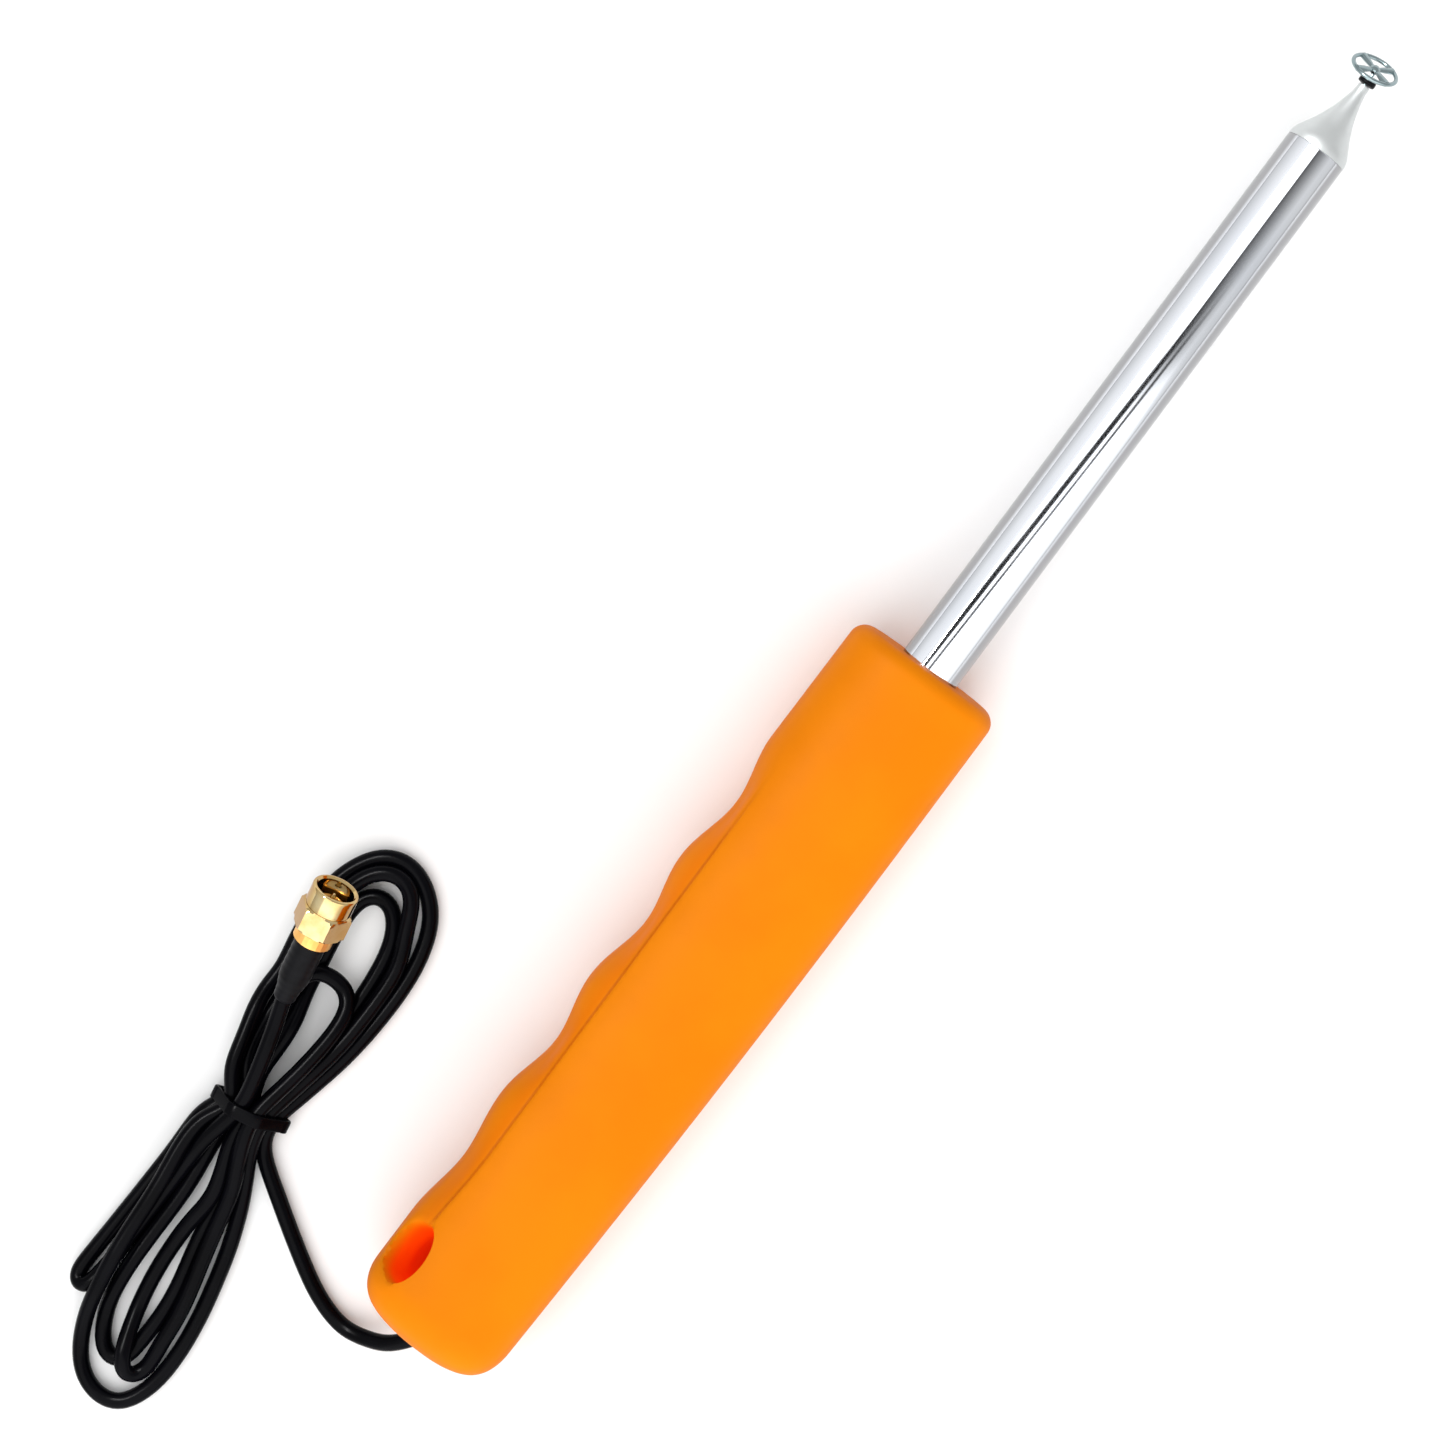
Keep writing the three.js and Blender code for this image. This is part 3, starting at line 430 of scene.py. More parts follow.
# The turns push each other apart to one diameter and settle on the table and on each other.
def settledRoute():
    base, held = laidRoute()
    route = base.copy()
    wide = lead["diameter"] * lead["gap"]
    for step in range(lead["passes"]):
        if step % 8 == 0:
            gaps = np.linalg.norm(route[:, None] - route[None], axis=2)
            first, second = np.where(np.triu(gaps < wide * 2, lead["near"]))
        base = eased(base, held)
        apart = route[first] - route[second]
        far = np.maximum(np.linalg.norm(apart, axis=1), 1e-3)
        close = far < wide
        push = apart[close] / far[close, None] * (wide - far[close, None]) * lead["push"]
        move = np.zeros_like(route)
        count = np.ones(len(route))
        np.add.at(move, first[close], push)
        np.add.at(move, second[close], -push)
        np.add.at(count, first[close], 0.5)
        np.add.at(count, second[close], 0.5)
        move /= count[:, None]
        pull = (base - route) * lead["pull"]
        if step > lead["sinkFrom"]:
            pull[:, 2] = -lead["sink"]
        route = route + move + pull
        route[held] = base[held]
        route = base + spread(route - base, 1 if step % 2 else 2)
        route[:, 2] = np.maximum(route[:, 2], lead["rest"])
        route[held] = base[held]
    route = spread(route, 2)
    gaps = np.linalg.norm(route[:, None] - route[None], axis=2)
    gaps[np.abs(np.subtract.outer(np.arange(len(route)), np.arange(len(route)))) <= lead["near"]] = np.inf
    print("closest turns, mm", round(float(gaps.min()), 2), "points", len(route))
    return route


def addLead():
    route = (settledRoute() + np.array(leadExit)) * mm
    length = float(np.linalg.norm(np.diff(route, axis=0), axis=1).sum())
    print("lead length", round(length, 4))
    data = bpy.data.curves.new("coax lead", "CURVE")
    data.dimensions = "3D"
    data.resolution_u = 2
    data.bevel_depth = lead["diameter"] / 2 * mm
    data.bevel_resolution = 5
    data.use_fill_caps = True
    line = data.splines.new("NURBS")
    line.points.add(len(route) - 1)
    for point, place in zip(line.points, route):
        point.co = (*place, 1)
    line.order_u = 4
    line.use_endpoint_u = True
    data.materials.append(finishes["black_polymer"])
    piece = bpy.data.objects.new("coax_lead", data)
    bpy.context.collection.objects.link(piece)
    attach(piece, "probe")
    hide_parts("lead_run", "lead_hank", "lead_tail")
    return piece, length


coaxLead, leadLength = addLead()
print("lead laid")


# The tie round the hank.
tieBand = {"width": 2.3, "thickness": 0.7, "slack": 0.05, "edge": 0.28, "bulge": 0.7, "sides": 72}


def addTie():
    reach = lead["diameter"] / 2 + tieBand["slack"]
    bm = bmesh.new()
    ring = bmesh.ops.create_circle(bm, segments=tieBand["sides"], radius=1)["verts"]
    for vert in ring:
        angle = math.atan2(vert.co.y, vert.co.x)
        way = Vector((math.cos(angle), math.sin(angle)))
        strand = max(lead["slots"], key=lambda s: Vector(s).dot(way))
        out = reach + tieBand["bulge"] * abs(way.x) ** 6
        vert.co = (-tieBand["width"] / 2, -(strand[0] + way.x * out), strand[1] + way.y * reach)
    wall = bmesh.ops.extrude_edge_only(bm, edges=bm.edges[:])
    over = [v for v in wall["geom"] if isinstance(v, bmesh.types.BMVert)]
    bmesh.ops.translate(bm, vec=(tieBand["width"], 0, 0), verts=over)
    bmesh.ops.recalc_face_normals(bm, faces=bm.faces)
    bmesh.ops.solidify(bm, geom=bm.faces[:], thickness=-tieBand["thickness"])
    bmesh.ops.recalc_face_normals(bm, faces=bm.faces)
    rims = [e for e in bm.edges if e.is_manifold and e.calc_face_angle(0) > 1]
    bmesh.ops.bevel(bm, geom=rims, offset=tieBand["edge"], segments=3, profile=0.5, affect="EDGES",
                    material=-1)
    place = Matrix.Translation(leadExit + Vector((*lead["tieCentre"], 0)))
    place = Matrix.Scale(mm, 4) @ place @ Matrix.Rotation(math.radians(lead["tieTurn"]), 4, "Z")
    return addPiece("hank_tie_band", bm, "black_polymer", ["hank_tie"], place)


tie = addTie()


# The grip.
grip = {
    "length": 138.8, "thickness": 24.6, "spineTop": 13.5, "spineButt": 11.3, "spineBow": 0.85,
    "fingerTop": 13.7, "fingerButt": 15.2, "flat": 0.4, "power": 2.6,
    "topCorner": 2.6, "buttCorner": 5.5, "dome": 3.0,
    "nose": 2.0, "noseLength": 22,  # how far the butt's front and back edges draw in, and over what length
    "depths": (1.9, 1.9, 1.9, 1.3), "pitch": 24.3, "firstGroove": 35.8,
    "grooveEdge": (0.72, 0.94),  # cosines between which the grooves run out round the side
    "wall": 2.6, "valleyWall": 1.9, "pocketTop": -3, "pocketButt": -115.6, "mastHole": 5.28,
    "exitRadius": 2.7, "exitFrom": (0.6, 1.5, -5.3), "exitAim": (-0.82, 0.54, -0.19),
    "rings": 150, "sides": 160, "domeRings": 30, "cornerRings": 9,
}
crease = {  # the line down the front, with its places along X
    "from": -24, "full": -46, "to": -121, "end": -124, "off": 10.5, "depth": 0.4,
    "drift": 0.9, "driftFrom": -104,  # how far it moves towards the fingers near the bore
    "home": 42, "gather": 16, "shift": 34,  # degrees, for the columns of the mesh beside it
    "step": 0.16, "stepFade": (-24, -8),  # the flank beside it lies a little lower, fading over these degrees
    "shadeFades": (-26, -46, -119, -122),
}
mouth = {  # the lanyard bore, by height from the mast axis
    "z": (-15, -9, 0, 5, 9.5, 15), "x": (-126.3, -126.3, -125.8, -125.2, -124.6, -123.6),
    "y": (3.6, 5.0, 7.6, 9.2, 11.2, 13.6), "long": (4.6, 4.6, 4.6, 4.9, 5.7, 6.6),
    "wide": (2.4, 2.4, 2.4, 2.7, 3.3, 3.8), "scoop": 1.0, "scoopFrom": 1.5,
}
softRim = {"x": -124.6, "y": 12.6, "long": 7.2, "wide": 3.6, "fromY": 10.4, "fromZ": 1.5, "passes": 14}


def smoothStep(v, low, high):
    t = min(max((v - low) / (high - low), 0), 1)
    return t * t * (3 - 2 * t)


def fingerHalf(x):
    return grip["fingerTop"] + (grip["fingerButt"] - grip["fingerTop"]) * -x / grip["length"]


# Distance from the mast axis to the skin at x, in the direction of the angle (0 is the finger side).
def skinRadius(x, angle, inset, grooved):
    side, front = math.cos(angle), math.sin(angle)
    dip = 0 if grooved else grip["depths"][0] - grip["wall"] + grip["valleyWall"]
    share = min(max(-x / grip["length"], 0), 1)
    spine = grip["spineTop"] + (grip["spineButt"] - grip["spineTop"]) * share
    spine += grip["spineBow"] * math.sin(math.pi * share)
    half = fingerHalf(x) - dip if side > 0 else spine
    across = abs(side / (half - inset)) ** grip["power"]
    through = abs(front / (grip["thickness"] / 2 - inset)) ** grip["power"]
    radius = (across + through) ** (-1 / grip["power"])
    along = (-x - grip["firstGroove"]) / grip["pitch"]
    if grooved and -0.5 < along < len(grip["depths"]) - 0.5:
        valley = grip["depths"][round(along)] * (0.5 + 0.5 * math.cos(2 * math.pi * along))
        radius -= valley * smoothStep(side, *grip["grooveEdge"])
    return radius


# The angle at which the crease runs down the front of the grip.
def creaseAngle(x):
    away = crease["off"] + crease["drift"] * smoothStep(-x, -crease["driftFrom"], -crease["to"])
    angle = math.radians(crease["home"])
    for _ in range(12):
        angle = math.acos(min(away / skinRadius(x, angle, 0, True), 0.95)) * 0.6 + angle * 0.4
    return angle


# How far the skin sinks, by its angle from the crease: the crease itself and the lower flank beside it.
def creaseSink(x, off, column):
    fade = smoothStep(-x, -crease["from"], -crease["full"])
    fade *= 1 - smoothStep(-x, -crease["to"], -crease["end"])
    low, high = (math.radians(v) for v in crease["stepFade"])
    sunk = crease["depth"] * fade * max(0, 1 - abs(off) / (column * 1.6)) ** 1.3
    return sunk + crease["step"] * fade * smoothStep(-off, 0, column * 2) * smoothStep(off, low, high)


# How far the butt end falls back, from 0 in the middle to its edge.
def buttFall(share):
    return grip["dome"] * share**2 + grip["buttCorner"] * (1 - math.sqrt(1 - share**8))


# The form of the grip, or of its pocket: a plain spun form that then takes the section's shape.
def gripForm(top, butt, inset, grooved, topRound, domed, rings, sides):
    rim = 10  # radius of the plain form
    outline = [(butt, 0)]
    count = grip["domeRings"]
    shares = [math.sin(math.pi / 2 * i / count) for i in range(2, count + 1)] if domed else [1]
    outline += [(butt + (buttFall(v) if domed else 0), rim * v) for v in shares]
    first, last = outline[-1][0], top - topRound
    outline += [(first + (last - first) * i / rings, rim) for i in range(1, rings + 1)]
    if topRound:
        count = grip["cornerRings"]
        outline += [(last + topRound * math.sin(a), rim - topRound * (1 - math.cos(a)))
                    for a in [i / count * math.pi / 2 for i in range(1, count + 1)]]
    outline.append((top, 0))
    bm = turned(outline, sides)
    column = 2 * math.pi / sides
    home = round(math.radians(crease["home"]) / column) * column
    for vert in bm.verts:
        x, radius = vert.co.x, math.hypot(vert.co.y, vert.co.z)
        if radius < 1e-6:
            continue
        angle = math.atan2(vert.co.z, vert.co.y)
        sunk = 0
        if grooved and 0 < angle < math.pi / 2 + 0.1:
            off = angle - home
            near = 0.3 + 0.7 * smoothStep(abs(off), 0, math.radians(crease["gather"]))
            shift = creaseAngle(min(x, -12)) - home
            shift *= 1 - smoothStep(abs(off), 0, math.radians(crease["shift"]))
            angle = home + off * near + shift
            sunk = creaseSink(x, off, column)
        full = skinRadius(x, angle, inset, grooved) - sunk
        atTop = x > top - topRound - mergeGap and radius > rim / 2
        kept = full - (rim - radius) if atTop else full * radius / rim
        away = kept * abs(math.sin(angle)) * 2 / grip["thickness"]
        length = grip["noseLength"]
        pull = grip["nose"] * away**1.6 * smoothStep(butt + length - x, 0, length) if domed else 0
        vert.co = (x + pull, kept * math.cos(angle), kept * math.sin(angle))
    return bm


# The section of the bore at a height.
def mouthAt(z):
    return [float(np.interp(z, mouth["z"], mouth[key])) for key in ("x", "y", "long", "wide")]


def boreForm():
    bm = bmesh.new()
    bmesh.ops.create_cone(bm, cap_ends=True, segments=56, radius1=1, radius2=1, depth=2)
    upright = [e for e in bm.edges if abs(e.verts[0].co.z - e.verts[1].co.z) > 1]
    bmesh.ops.subdivide_edges(bm, edges=upright, cuts=44, use_grid_fill=True)
    for vert in bm.verts:
        z = vert.co.z * mouth["z"][-1]
        x, y, long, wide = mouthAt(z)
        scoop = mouth["scoop"] * max(0, z - mouth["scoopFrom"]) * max(0, vert.co.y) ** 1.5
        vert.co = (x + long * vert.co.x, y + wide * vert.co.y + scoop, z)
    bmesh.ops.recalc_face_normals(bm, faces=bm.faces)
    return bm


def rodForm(radius, start, end, sides):
    bm = bmesh.new()
    way = Vector(end) - Vector(start)
    turn = Vector((0, 0, 1)).rotation_difference(way.normalized()).to_matrix().to_4x4()
    place = Matrix.Translation((Vector(start) + Vector(end)) / 2) @ turn
    bmesh.ops.create_cone(bm, cap_ends=True, segments=sides, radius1=radius, radius2=radius, depth=way.length,
                          matrix=place)
    return bm


def boxForm(low, high):
    bm = bmesh.new()
    size = Vector(high) - Vector(low)
    place = Matrix.Translation((Vector(low) + Vector(high)) / 2) @ Matrix.Diagonal((*size, 1))
    bmesh.ops.create_cube(bm, size=1, matrix=place)
    return bm


# Cuts each tool out of the body, and gives the mesh that is left.
def carved(bm, tools):
    scratch = []
    for i, form in enumerate([bm] + tools):
        mesh = bpy.data.meshes.new(f"form{i}")
        form.to_mesh(mesh)
        form.free()
        thing = bpy.data.objects.new(f"form{i}", mesh)
        bpy.context.collection.objects.link(thing)
        scratch.append(thing)
    for tool in scratch[1:]:
        modifier = scratch[0].modifiers.new("cut", "BOOLEAN")
        modifier.operation = "DIFFERENCE"
        modifier.solver = "EXACT"
        modifier.object = tool
    seen = bpy.context.evaluated_depsgraph_get()
    seen.update()
    result = bpy.data.meshes.new_from_object(scratch[0].evaluated_get(seen))
    for thing in scratch:
        old = thing.data
        bpy.data.objects.remove(thing)
        bpy.data.meshes.remove(old)
    return result


def addGrip():
    outer = gripForm(0, -grip["length"], 0, True, grip["topCorner"], True, grip["rings"], grip["sides"])
    pocket = gripForm(grip["pocketTop"], grip["pocketButt"], grip["wall"], False, 0, False, 12, 40)
    x, y, z = grip["exitFrom"]
    exitPlace = Vector((x - grip["length"], y, z))
    exitAim = Vector(grip["exitAim"]).normalized()
    tools = [
        pocket,
        rodForm(grip["mastHole"], (-6, 0, 0), (2, 0, 0), 64),
        rodForm(grip["exitRadius"], exitPlace - exitAim * 5.3, exitPlace + exitAim * 6, 32),
        boreForm(),
        boxForm((-150, -30, -30), (5, 30, -grip["thickness"] / 2 + grip["flat"])),
    ]
    mesh = carved(outer, tools)
    bm = bmesh.new()
    bm.from_mesh(mesh)
    bpy.data.meshes.remove(mesh)
    bmesh.ops.remove_doubles(bm, verts=bm.verts, dist=mergeGap)
    softenMouth(bm)
    markPaintedLight(bm)
    addPiece("silicone_grip", bm, "grip_silicone", ["grip_sleeve"], probePlace, sharp=40)


# The side of the mouth towards the fingers runs out softly into the flank.
def softenMouth(bm):
    rim = []
    for vert in bm.verts:
        x, y, z = vert.co
        off = math.hypot((x - softRim["x"]) / softRim["long"], (y - softRim["y"]) / softRim["wide"])
        if off < 1 and y > softRim["fromY"] and z > softRim["fromZ"]:
            rim.append(vert)
    for _ in range(softRim["passes"]):
        bmesh.ops.smooth_vert(bm, verts=rim, factor=0.5, use_axis_x=True, use_axis_y=True, use_axis_z=True)


# Marks the crease and the flank beside it for painted shade, and the depth of the bore for a painted deep
# red, for the finish.
def markPaintedLight(bm):
    creaseShade, flank, bore = (bm.verts.layers.float.new(name) for name in siliconePaintedLight)
    for vert in bm.verts:
        x, y, z = vert.co
        if x > crease["from"]:
            continue
        if z > 0:
            angle = creaseAngle(x)
            away = y - skinRadius(x, angle, 0, True) * math.cos(angle)
            begin, full, fall, end = crease["shadeFades"]
            fade = smoothStep(-x, -begin, -full) * (1 - smoothStep(-x, -fall, -end))
            # Painted shade along the crease and on the flank beside it.
            vert[creaseShade] = fade * max(0, 1 - abs(away) / 0.4)
            vert[flank] = fade * smoothStep(away, 0, 0.4) * (1 - 0.7 * smoothStep(away, 0.5, 3))
        atX, atY, long, wide = mouthAt(z)
        if z > -10 and math.hypot((x - atX) / (long + 0.4), (y - atY) / (wide + 2)) < 1.1:
            depth = skinRadius(x, math.atan2(z, y), 0, True) - math.hypot(y, z)
            # Painted deep red, stronger deeper in the bore.
            vert[bore] = smoothStep(depth, 0.4, 3.2)


addGrip()
print("grip made")


# Mast, nose, collar and wheel.
mast = {"radius": 5.2, "wall": 0.9, "start": -31, "end": 101.78}
nose = {
    "start": 101.8, "spigot": 4.0, "bore": 0.6,
    "outline": [(101.84, 5.2), (102.6, 5.14), (103.4, 4.9), (104.2, 4.46), (105.2, 3.88), (106.3, 3.28),
                (107.5, 2.72), (109, 2.12), (110.5, 1.64), (112, 1.25), (113.2, 1.02), (114.4, 0.95)],
}
collar = {"start": 114.75, "end": 115.7, "radius": 1.45, "bore": 0.45, "round": 0.2}
wheel = {"x": 117.45, "y": 0.2, "radius": 3.75, "wire": 0.35, "spokeWide": 0.65, "spokeThin": 0.3,
         "flatness": 0.72, "swell": 0.18, "lean": -33, "cant": 6.7}


def addMast():
    outer, inner = mast["radius"], mast["radius"] - mast["wall"]
    start, end = mast["start"], mast["end"]
    outline = [(start, inner), (start, outer), (start + 0.2, outer), (end - 0.3, outer)]
    outline += corner(end - 0.04, outer - 0.04, 0.04, 90, 0, 3)
    outline += corner(end - 0.2, inner + 0.2, 0.2, 0, -90, 4)
    outline += [(end - 0.5, inner), (start + 0.2, inner)]
    bm = turned(outline, 96, closed=True)
    addPiece("mast_sleeve", bm, "mast_chrome", ["mast_tube"], probePlace)


def addNose():
    start, rear = nose["start"], nose["start"] - nose["spigot"]
    inside = mast["radius"] - 1.2  # radius of the spigot in the mast
    outline = [(rear, nose["bore"]), (rear, inside), (start, inside), (start, mast["radius"] - 0.04)]
    outline += [tuple(place) for place in smoothRoute([(x, r, 0) for x, r in nose["outline"]], 0.3)[:, :2]]
    tip, neck = nose["outline"][-1]
    outline += [(tip + 0.1, neck - 0.1), (tip + 0.1, nose["bore"])]
    bm = turned(outline, 96, closed=True)
    addPiece("satin_nose", bm, "nose_satin", ["nose_cone"], probePlace)


def addCollar():
    start, end, r, soft = (collar[key] for key in ("start", "end", "radius", "round"))
    outline = [(start, collar["bore"])] + corner(start + soft, r - soft, soft, 180, 90, 3)
    outline += corner(end - soft, r - soft, soft, 90, 0, 3) + [(end, collar["bore"])]
    bm = turned(outline, 48, closed=True)
    addPiece("dark_collar", bm, "black_polymer", ["tip_collar"], probePlace, look="boot_sleeve")


def addWheel():
    rim, wire = wheel["radius"], wheel["wire"]
    ring = [(wire * math.cos(a), rim + wire * math.sin(a)) for a in [i / 14 * 2 * math.pi for i in range(14)]]
    bm = turned(ring, 96, closed=True)
    hub = turned([(-0.5, 0), (-0.5, 0.65)] + corner(-0.3, 0.65, 0.2, 180, 90, 3)
                 + [(0.3, 0.85), (0.6, 0.45), (0.7, 0)], 40)
    parts = [hub]
    for degrees in (45, 135, 225, 315):
        spoke = bmesh.new()
        bmesh.ops.create_cone(spoke, cap_ends=True, segments=20, radius1=wheel["spokeThin"],
                              radius2=wheel["spokeWide"], depth=rim,
                              matrix=Matrix.Translation((0, 0, rim / 2)))
        upright = [e for e in spoke.edges if abs(e.verts[0].co.z - e.verts[1].co.z) > 1]
        bmesh.ops.subdivide_edges(spoke, edges=upright, cuts=9, use_grid_fill=True)
        for vert in spoke.verts:
            share = vert.co.z / rim
            swell = 1 + wheel["swell"] * math.sin(share * math.pi)
            vert.co.x *= swell * wheel["flatness"]
            vert.co.y *= swell
        bmesh.ops.rotate(spoke, cent=(0, 0, 0), matrix=Matrix.Rotation(math.radians(degrees), 3, "X"),
                         verts=spoke.verts)
        parts.append(spoke)
    for part in parts:
        mesh = bpy.data.meshes.new("part")
        part.to_mesh(mesh)
        part.free()
        bm.from_mesh(mesh)
        bpy.data.meshes.remove(mesh)
    lean = Euler((0, math.radians(wheel["lean"]), math.radians(wheel["cant"])), "XYZ").to_matrix().to_4x4()
    place = probePlace @ Matrix.Translation((wheel["x"], wheel["y"], 0)) @ lean
    addPiece("wire_wheel", bm, "wheel_plate", ["pickup_wheel"], place)


addMast()
addNose()
addCollar()
addWheel()
print("mast, nose and wheel made")


# The plug and its boot, along their own X axis with the front rim at 0.
plug = {"rim": 3.6, "hex": 4.6, "rimRadius": 3.95, "flats": 8.0, "bore": 3.15, "neckBore": 2.5,
        "undercut": 0.12, "round": 0.35, "thread": 0.06, "threadStep": 0.35, "threadRings": 15}
boot = {"back": -22.7, "front": -10.7, "radius": 2.65, "inner": 1.45, "head": 2.25, "round": 0.3,
        "taper": 0.75, "ripple": 0.04}
plugPlace = (Matrix.Translation(plugRim) @ Vector((1, 0, 0)).rotation_difference(plugAim).to_matrix().to_4x4()
             @ Matrix.Scale(mm, 4))


def addNut():
    rim, back, bore = plug["rim"], -plug["rim"] - plug["hex"], plug["bore"]
    wide, neck, soft = plug["rimRadius"], plug["rimRadius"] - plug["undercut"], plug["round"]
    top = plug["flats"] / 2 / math.cos(math.pi / 6)
    outline = [(back, plug["neckBore"]), (back, top - 0.75), (back + 0.15, top - 0.45), (back + 0.5, top)]
    outline += [(back + 0.5 + (plug["hex"] - 1.1) * i / 6, top) for i in range(1, 7)]
    outline += [(-rim - 0.3, top - 0.3), (-rim - 0.05, wide), (-rim, neck), (-rim + 0.25, neck)]
    outline.append((-rim + 0.35, wide))
    outline += [(-0.9, wide)] + corner(-soft, wide - soft, soft, 90, 0, 5)
    outline += [(0, bore + 0.3), (-0.3, bore)]
    outline += [(-0.3 - plug["threadStep"] * i, bore - (plug["thread"] if i % 2 else 0))
                for i in range(1, plug["threadRings"])]
    outline += [(back + 2, bore), (back + 2, plug["neckBore"])]
    bm = turned(outline, 96, closed=True)
    for vert in bm.verts:
        r = math.hypot(vert.co.y, vert.co.z)
        if vert.co.x < -rim - 0.04 and r > plug["neckBore"] + 0.8 and r > bore + 0.2:
            angle = math.atan2(vert.co.z, vert.co.y)
            turn = angle % (math.pi / 3) - math.pi / 6
            flat = min(r, plug["flats"] / 2 / math.cos(turn))
            vert.co.y, vert.co.z = flat * math.cos(angle), flat * math.sin(angle)
    return addPiece("gold_coupling_nut", bm, "gold_plate", ["sma_coupling_nut"], plugPlace,
                    body="coupling_nut", sharp=22)


def addBoot():
    back, front, r, soft = boot["back"], boot["front"], boot["radius"], boot["round"]
    outline = [(front, boot["head"])] + corner(front - soft, r - soft, soft, 0, 90, 3)
    for i in range(1, 25):
        x = front - 0.3 - (front - back - 0.9) * i / 24
        taper = boot["taper"] * smoothStep(-x, -front + 6.5, -back - 0.8)
        outline.append((x, r - taper + boot["ripple"] * math.sin(i * 2.1)))
    outline += [(back + 0.15, 1.75), (back, 1.6), (back, boot["inner"]), (front - 7.5, boot["inner"]),
                (front - 7, boot["head"])]
    bm = turned(outline, 56, closed=True)
    return addPiece("shrunk_boot", bm, "boot_sleeve", ["heat_shrink_boot"], plugPlace)


nut = addNut()
bootPiece = addBoot()
print("plug made")


# Table, light and surroundings.
# The marks go round the mast's direction, as (degrees from straight up towards the finger side, brightness).
studio = {
    "table": 3.0, "tableDrop": 0.0002, "surround": 2.4, "askew": 6.0, "ahead": 0.32,
    "near": [(-180, 0.38), (-90, 0.31), (-74, 0.56), (-60, 1), (22, 1), (28, 0.5), (37, 0.45), (50, 0.42),
             (63, 0.39), (77, 0.32), (90, 0.26), (180, 0.38)],
    "far": [(-180, 0.38), (-90, 0.27), (-60, 0.31), (-44, 0.23), (-30, 0.15), (-12, 0.075), (-5, 0.031),
            (-3, 1), (20, 1), (30, 0.47), (50, 0.41), (63, 0.36), (77, 0.31), (90, 0.26), (180, 0.38)],
    "lines": [(-180, 1), (-16, 1), (-15.4, 0.003), (-7.4, 0.003), (-6.8, 1), (1.4, 1), (2, 0.003),
              (20, 0.003), (20.6, 1), (180, 1)],
    "toFar": (0.03, 0.06), "linesEnd": (0.055, 0.085), "toAhead": (0.28, 0.42),  # changes along X
}
streak = {"place": (0, 0.5, 0.87), "size": (0.6, 0.04), "power": 12}  # a lamp for the highlights


def addTable():
    bm = bmesh.new()
    bmesh.ops.create_grid(bm, x_segments=1, y_segments=1, size=studio["table"])
    bmesh.ops.translate(bm, vec=(0, 0, -studio["tableDrop"]), verts=bm.verts)
    mesh = bpy.data.meshes.new("table")
    bm.to_mesh(mesh)
    bm.free()
    table = bpy.data.objects.new("table", mesh)
    bpy.context.collection.objects.link(table)
    mesh.materials.append(finish("pale table", (0.93, 0.93, 0.93, 1), 0.7, Specular_IOR_Level=0.1))


def addStreak():
    data = bpy.data.lights.new("streak", "AREA")
    data.shape = "RECTANGLE"
    data.size, data.size_y = streak["size"]
    data.energy = streak["power"]
    lamp = bpy.data.objects.new("streak", data)
    lamp.location = streak["place"]
    lamp.rotation_euler = (-Vector(streak["place"])).to_track_quat("-Z", "Y").to_euler()
    lamp.visible_diffuse = False
    bpy.context.collection.objects.link(lamp)


def ringRamp(nodes, links, angle, marks):
    span = nodes.new("ShaderNodeMapRange")
    span.inputs["From Min"].default_value = -math.pi
    span.inputs["From Max"].default_value = math.pi
    ramp = nodes.new("ShaderNodeValToRGB")
    links.new(angle, span.inputs["Value"])
    links.new(span.outputs["Result"], ramp.inputs["Fac"])
    stops = ramp.color_ramp.elements
    while len(stops) < len(marks):
        stops.new(0.5)
    for stop, (degrees, bright) in zip(stops, marks):
        stop.position = (degrees + 180) / 360
        stop.color = (bright, bright, bright, 1)
    return ramp.outputs["Color"]


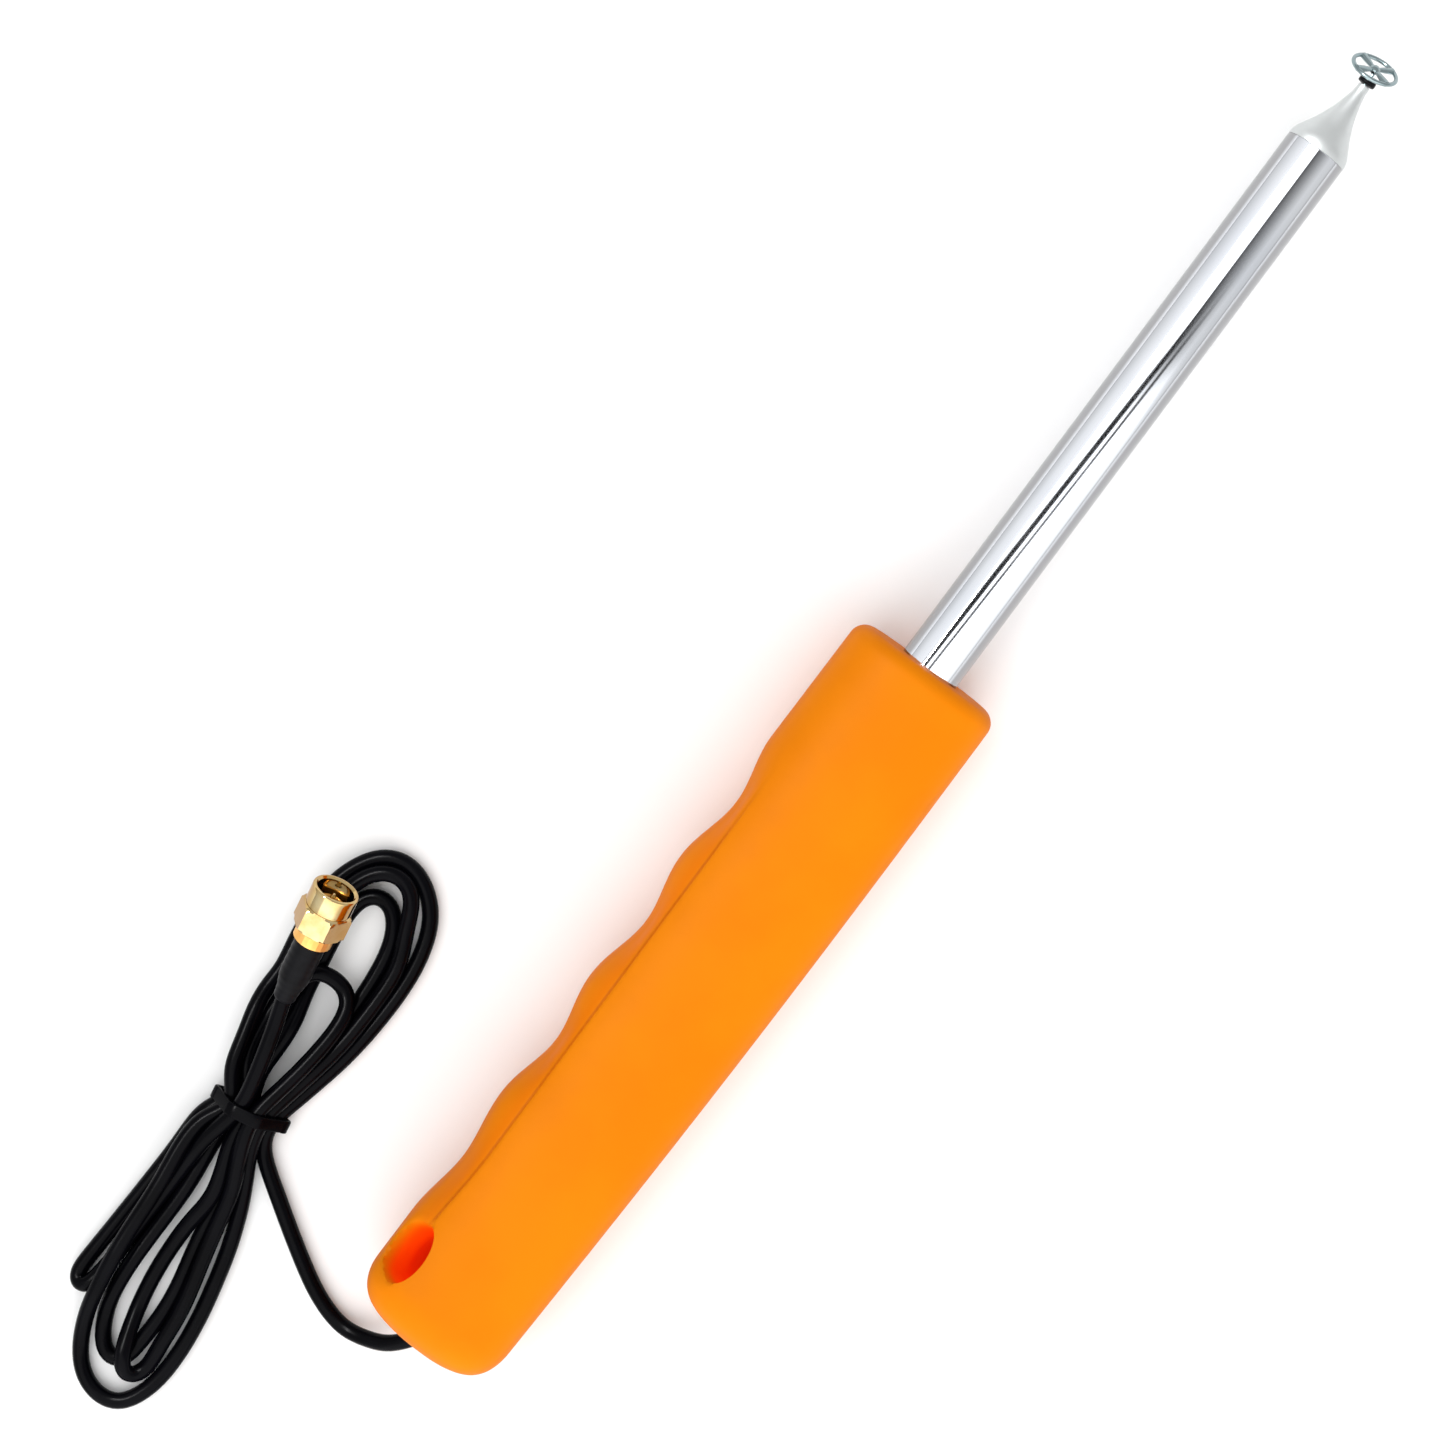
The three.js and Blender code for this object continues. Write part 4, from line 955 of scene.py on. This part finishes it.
# Goes from the first tone to the second over a range of the factor, or multiplies them without one.
def mixed(nodes, links, first, second, factor=None, ends=(0, 1)):
    mix = nodes.new("ShaderNodeMix")
    mix.data_type = "RGBA"
    if factor is None:
        mix.blend_type = "MULTIPLY"
        mix.inputs[0].default_value = 1
    else:
        span = nodes.new("ShaderNodeMapRange")
        span.inputs["From Min"].default_value, span.inputs["From Max"].default_value = ends
        links.new(factor, span.inputs["Value"])
        links.new(span.outputs["Result"], mix.inputs[0])
    links.new(first, mix.inputs[6])
    if isinstance(second, (int, float)):
        mix.inputs[7].default_value = (second, second, second, 1)
    else:
        links.new(second, mix.inputs[7])
    return mix.outputs[2]


# The surround is pale, with dark lines that run slightly askew to the mast, which the chrome shows.
def addSurround():
    world = bpy.data.worlds.new("surround")
    bpy.context.scene.world = world
    world.use_nodes = True
    nodes, links = world.node_tree.nodes, world.node_tree.links
    place = nodes.new("ShaderNodeTexCoord")
    split = nodes.new("ShaderNodeSeparateXYZ")
    angle = nodes.new("ShaderNodeMath")
    angle.operation = "ARCTAN2"
    askew = nodes.new("ShaderNodeMath")
    askew.operation = "MULTIPLY_ADD"
    askew.inputs[1].default_value = studio["askew"]
    links.new(place.outputs["Generated"], split.inputs["Vector"])
    links.new(split.outputs["Y"], angle.inputs[0])
    links.new(split.outputs["Z"], angle.inputs[1])
    links.new(split.outputs["X"], askew.inputs[0])
    links.new(angle.outputs[0], askew.inputs[2])
    near = ringRamp(nodes, links, angle.outputs[0], studio["near"])
    far = ringRamp(nodes, links, angle.outputs[0], studio["far"])
    lines = ringRamp(nodes, links, askew.outputs[0], studio["lines"])
    along = split.outputs["X"]
    tone = mixed(nodes, links, near, far, along, studio["toFar"])
    faded = mixed(nodes, links, lines, 1, along, studio["linesEnd"])
    both = mixed(nodes, links, tone, faded)
    whole = mixed(nodes, links, both, studio["ahead"], along, studio["toAhead"])
    background = nodes["Background"]
    links.new(whole, background.inputs["Color"])
    background.inputs["Strength"].default_value = studio["surround"]


addTable()
addSurround()
addStreak()
bpy.context.scene.view_settings.view_transform = "Standard"
print("stage set")
